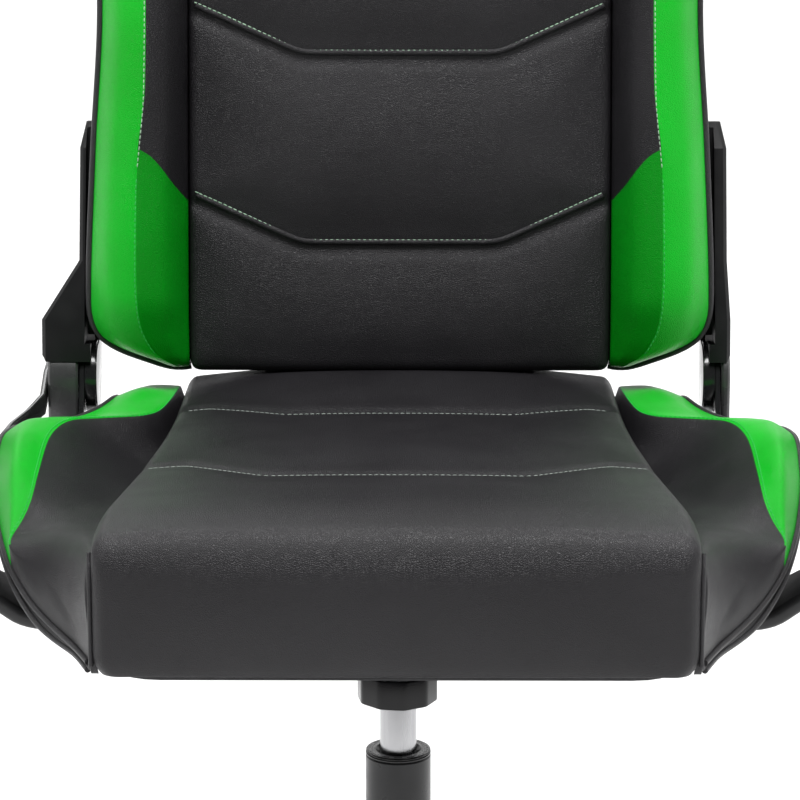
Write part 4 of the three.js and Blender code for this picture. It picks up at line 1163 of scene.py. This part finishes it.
LEVER_CORNERS = [(6, 0, 416.5), (-66, 0, 416.5), (-108, 76, 390), (-206, 76, 390)]
LEVER_RADIUS = 4.0


def height_lever():
    path = round_path(LEVER_CORNERS, 14, 3.0, closed=False)
    points, faces = loft(tube_points(path, LEVER_RADIUS, 16))
    bar = add_mesh("lever_bar", points, faces, BLACK_STEEL)
    settle(bar, "height_lever", "steel_black", "height_lever_rod")


def mechanism():
    tension_knob()
    for node in ("mechanism_housing", "seat_plate"):
        refine(node, BLACK_STEEL, "steel_black", 0.9)
    for node, edge in (("tilt_pivot_pin", 0.6), ("tension_screw", 0.5), ("spring_washer", 0.3)):
        refine(node, ZINC, "steel_bright", edge, 2)
    refine("tilt_lock_sleeve", PLASTIC, "plastic_black", 0.4, 2)
    refine("height_lever_grip", PLASTIC, "plastic_black", 2.2, 4)
    refine("seat_board", DUST_CLOTH, "board", 1.5)
    tilt_coil()
    height_lever()


# ---- armrests
ARM_X, ARM_TOP = 336.0, 704.0
ARM_LOOP = [(-78, 452), (52, 452), (107, 563), (101.5, 691), (-135, 691), (-131, 563)]  # (y, z)
ARM_FOOT = [(112, 439.5), (205, 439.5), (240, 434), (264, 430.3), (282, 434), (298, 444.5),
            (312, 451.5), (330, 453)]  # (x, z)
LOOP_BAR, FOOT_BAR = (26, 26.5, 9), (60, 13, 5)  # (width, thickness, corner radius)
BOLT_PLACES = [(x, y) for y in (-48, -12) for x in (135, 185)]
BOLT_CAP = [(0.01, 431.2), (5.4, 431.2), (6.4, 432), (6.4, 434.6), (0.01, 434.6)]
ARM_PAD_HALF = np.array([28.0, 139.0, 12.8])


def armrest(name, side):
    """Loop, foot and bolts as one piece, and the pad on top."""
    loop = np.array(round_path([(0, y, z) for y, z in ARM_LOOP], 40, 5.0))
    loop[:, 0] = ARM_X
    frame_loop = swept("loop", loop, *LOOP_BAR, PLASTIC, (1, 0, 0), closed=True, side=side)
    foot = resample([(x, -30, z) for x, z in spline(ARM_FOOT, 70)], 5.0)
    bracket = swept("foot", foot, *FOOT_BAR, PLASTIC, (0, 1, 0), side=side)
    bolts = [turned("bolt", BOLT_CAP, ZINC, (x * side, y), 24) for x, y in BOLT_PLACES]
    arm = join_pieces("armrest_loop_" + name, [frame_loop, bracket] + bolts)
    arm.data.set_sharp_from_angle(angle=math.radians(40))
    settle(arm, "seat", "plastic_black", "armrest_" + name)
    points, faces = rounded_block(ARM_PAD_HALF, (17, 26, 9), 4.0)
    u, v, w = (points / ARM_PAD_HALF).T
    points = points + np.array([ARM_X + 10, -21.0, ARM_TOP + 0.4 + ARM_PAD_HALF[2]])
    points[:, 2] -= (1.8 * (1 - u * u) * np.cos(v * math.pi / 2.4) - 1.0 * u * u) * (w > 0.6)
    pad = add_mesh("arm_cushion_" + name, points, faces, SOFT_PLASTIC, side=side, smooth_angle=60)
    settle(pad, "seat", "plastic_black", "arm_pad_" + name)


# ---- recliner
def recliner():
    for name, side in SIDES:
        refine("seat_bracket_" + name, BLACK_STEEL, "steel_black", 0.9)
        refine("back_arm_" + name, BLACK_STEEL, "steel_black", 0.9)
        # Upper covers darker as painted shade, lower covers lighter grey as painted highlight; both are the same
        # black plastic.
        refine("upper_cover_" + name, UPPER_COVER_SHADED, "plastic_black", 2.4, 4, sharp=20)
        refine("lower_cover_" + name, LOWER_COVER_LIT, "plastic_black", 1.6, 3)
    refine("recline_lever", BLACK_STEEL, "steel_black", 1.2, 3, sharp=24)
    refine("back_frame", BLACK_STEEL, "steel_black", 0.5, 1)


# ---- soft parts: build, simulate, finish
def seat_trim(cushion, wings):
    """Threads and cords of the seat."""
    skin = surface_of(cushion)
    xs = np.linspace(-200, 200, 90)
    for name, line in (("front", front_seam), ("rear", rear_seam)):
        keep = xs[np.abs(xs) < float(interpolate(SEAT_HALF, line(0.0))) - 10]
        ys = line(keep)
        seam = np.column_stack([keep, ys - 3.2, np.full(len(keep), 575.0)])
        add_stitches("seat_stitches_" + name, skin, seam, GREY_THREAD, "seat", "leather_black")
    for name, side in SIDES:
        wing = surface_of(wings[name])
        ys = np.arange(-250, 222, 6.0)
        pipe = np.column_stack([interpolate(PIPE_X, ys) * side, ys, interpolate(PIPE_Z, ys)])
        add_piping("wing_piping_" + name, wing, pipe, PIPING, "seat")
        ys = np.arange(-252, -20, 6.0)
        low = np.maximum(interpolate(PIPE_Z, ys) - 8, SEAT_BOTTOM + 1.5)
        hem = np.column_stack([(interpolate(PIPE_X, ys) + 2) * side, ys, low])
        add_piping("wing_hem_" + name, wing, hem, PIPING, "seat", 2.4)
        ys = np.arange(-120, 222, 6.0)
        seam_x, seam_z = interpolate(WING_SEAM_X, ys) * side, interpolate(WING_SEAM_Z, ys) + 2
        seam = np.column_stack([seam_x, ys, seam_z])
        add_stitches("wing_stitches_" + name, wing, seam, GREEN_THREAD, "seat", "leather_green")
        nose = [(interpolate(SEAT_HALF, -262.0) * side, -262.5, z) for z in (466, 500, 532)]
        nose += [(interpolate(SEAT_HALF, -252.0) * side, -254, 545)]
        points, faces = loft(tube_points(relax(resample(nose, 5), 3), 1.8))
        cord = add_mesh("seat_front_piping_" + name, points, faces, PIPING)
        settle(cord, "seat", "leather_black")


def back_trim(pad, bolsters):
    """Threads, welts and cords of the back."""
    skin = surface_of(pad)
    for number, line in enumerate(CHEVRONS, 1):
        half = float(interpolate(PAD_HALF, line)) - 1.5
        xs = np.linspace(-half, half, 110)
        s = line + chevron_rise(xs) * np.clip((750 - line) / 150, 0, 1)
        keep = ~in_harness(xs, s)
        depth = np.full(len(xs), -48.0)
        seam = from_back(np.column_stack([xs, depth, s]))[keep]
        add_stitches("back_stitches_%d" % number, skin, seam, THREAD, "backrest", "leather_black",
                     lift=0.5)
        roll = from_back(np.column_stack([xs, depth, s - WELT * 0.52]))[keep]
        add_piping("back_welt_%d" % number, skin, roll, BLACK_LEATHER, "backrest", 2.9, -0.9)
    for name, side in SIDES:
        skin = surface_of(bolsters[name])
        for part, low, high, thread in (("upper", 172, 742, THREAD), ("lower", 22, 172, GREEN_THREAD)):
            s = np.arange(low, high, 6.0)
            crest = from_back(np.column_stack([(interpolate(CREST_X, s) + 1.5) * side,
                                               -interpolate(CREST_DEPTH, s), s]))
            add_stitches("bolster_stitches_%s_%s" % (part, name), skin, crest, thread, "backrest",
                         "leather_green")
        s = np.concatenate([np.linspace(13, 24, 5), np.arange(30, 746, 6.0)])
        edge_x, edge_depth = interpolate(BACK_HALF, s) - 4, -interpolate(CREST_DEPTH, s) * 0.45
        edge = np.column_stack([edge_x * side, edge_depth, s])
        hem = [(x * side, -20.0, 10.0) for x in (166, 174, 182, 189)]
        pipe = from_back(np.concatenate([hem, edge]))
        add_piping("bolster_piping_" + name, skin, pipe, PIPING, "backrest", 3.1, 0.9)


def in_harness(xs, s):
    """Whether points of the back lie within a harness opening and its ring."""
    dx, ds = np.abs(xs) - HARNESS_X, s - HARNESS_S
    across = dx * math.cos(HARNESS_SLANT) - ds * math.sin(HARNESS_SLANT)
    up = dx * math.sin(HARNESS_SLANT) + ds * math.cos(HARNESS_SLANT)
    return (across / (HARNESS_WIDE + 7)) ** 2 + (up / (HARNESS_HIGH + 7)) ** 2 < 1


def soft_parts():
    """Builds every cover, simulates the cloth once, then finishes and trims the covers."""
    cushion, wing = seat_cushion(), seat_wing()
    pad, bolster = back_pad(), back_bolster()
    shell = back_shell()
    run_cloth()
    for obj in (cushion, wing, pad, bolster):
        refine_skin(obj)
    wings = {"left": wing, "right": mirror_copy(wing, "seat_wing_cover_right")}
    bolsters = {"left": bolster, "right": mirror_copy(bolster, "back_bolster_cover_right")}
    cut_harness_slots(pad)
    cut_harness_slots(shell)
    settle(cushion, "seat", "leather_black", "seat_cushion")
    settle(pad, "backrest", "leather_black", "back_pad")
    settle(shell, "backrest", "leather_black", "back_shell")
    for name, side in SIDES:
        settle(wings[name], "seat", "leather_green", "seat_wing_" + name)
        settle(bolsters[name], "backrest", "leather_green", "back_bolster_" + name)
        harness_bezel(name, side)
    seat_trim(cushion, wings)
    back_trim(pad, bolsters)


# ---- camera, floor and light
CAMERA_AWAY, CAMERA_UP, CAMERA_ASIDE = 2.8, 1.3322, 0.016  # metres
CAMERA_PITCH, CAMERA_TURN = 75.1, 0.3  # degrees
LENS, SENSOR = 173.57, 36.0
FLOOR_REACH = 60.0  # metres each way
SKIES = (("sky_front", 14, 0.6), ("sky_rear", -40, 1.7))  # (name, tip in degrees, strength)
TOP_PLACE, TOP_SIZE, TOP_POWER = (0, -0.85, 2.9), (2.4, 0.6), 80
WALL_SIZE, WALL_POWER = (0.8, 1.8), 5


def add_camera():
    data = bpy.data.cameras.new("camera")
    data.sensor_width = SENSOR
    data.lens = LENS
    camera = place("camera", data)
    camera.location = (CAMERA_ASIDE, COLUMN_Y - CAMERA_AWAY, CAMERA_UP)
    camera.rotation_euler = (math.radians(CAMERA_PITCH), 0, math.radians(CAMERA_TURN))
    bpy.context.scene.camera = camera


def add_floor():
    mesh = bpy.data.meshes.new("floor")
    corners = [(x * FLOOR_REACH, y * FLOOR_REACH, 0) for x, y in ((-1, -1), (1, -1), (1, 1), (-1, 1))]
    mesh.from_pydata(corners, [], [(0, 1, 2, 3)])
    material, tree, shader = new_material("pale_floor", 0.75, specular=0.2)
    cloud = texture(tree, "ShaderNodeTexNoise", 1.5, Detail=3.0)
    tint(tree, shader, cloud.outputs["Fac"], (0.9, 0.9, 0.9), (0.93, 0.93, 0.93))
    mesh.materials.append(material)
    place("floor", mesh)


def add_light(name, where, target, size, power):
    """Rectangular lamp turned towards its target."""
    data = bpy.data.lights.new(name, "AREA")
    data.shape = "RECTANGLE"
    data.size, data.size_y = size
    data.energy = power
    light = place(name, data)
    light.location = where
    direction = Vector(target) - Vector(where)
    light.rotation_euler = direction.to_track_quat("-Z", "Y").to_euler()


def add_sky_light(name, tip, strength):
    """Even light from a broad patch of ceiling; a tip below zero brings it from behind."""
    data = bpy.data.lights.new(name, "SUN")
    data.energy = strength
    data.angle = math.radians(50)
    place(name, data).rotation_euler = (math.radians(tip), 0, 0)


def add_studio():
    """Pale surroundings, darker on the camera's side, with soft light from above."""
    scene = bpy.context.scene
    scene.view_settings.view_transform = "Standard"
    world = bpy.data.worlds.new("studio")
    world.use_nodes = True
    nodes, links = world.node_tree.nodes, world.node_tree.links
    background = nodes["Background"]
    background.inputs["Color"].default_value = (1, 1, 1, 1)
    direction = nodes.new("ShaderNodeTexCoord").outputs["Generated"]
    parts = nodes.new("ShaderNodeSeparateXYZ")
    links.new(direction, parts.inputs["Vector"])
    shade = spread(world.node_tree, parts.outputs["Y"], 0.1, 0.9, -0.7, -0.05)
    links.new(shade, background.inputs["Strength"])
    scene.world = world
    for sky in SKIES:
        add_sky_light(*sky)
    middle = (0, COLUMN_Y, 0.7)
    add_light("top", TOP_PLACE, middle, TOP_SIZE, TOP_POWER)
    for name, side in SIDES:
        add_light("wall_" + name, (2.3 * side, 0.6, 1.3), middle, WALL_SIZE, WALL_POWER)


# ---- build
add_camera()
add_floor()
add_studio()
base()
gas_lift()
mechanism()
for arm_name, arm_side in SIDES:
    armrest(arm_name, arm_side)
recliner()
soft_parts()
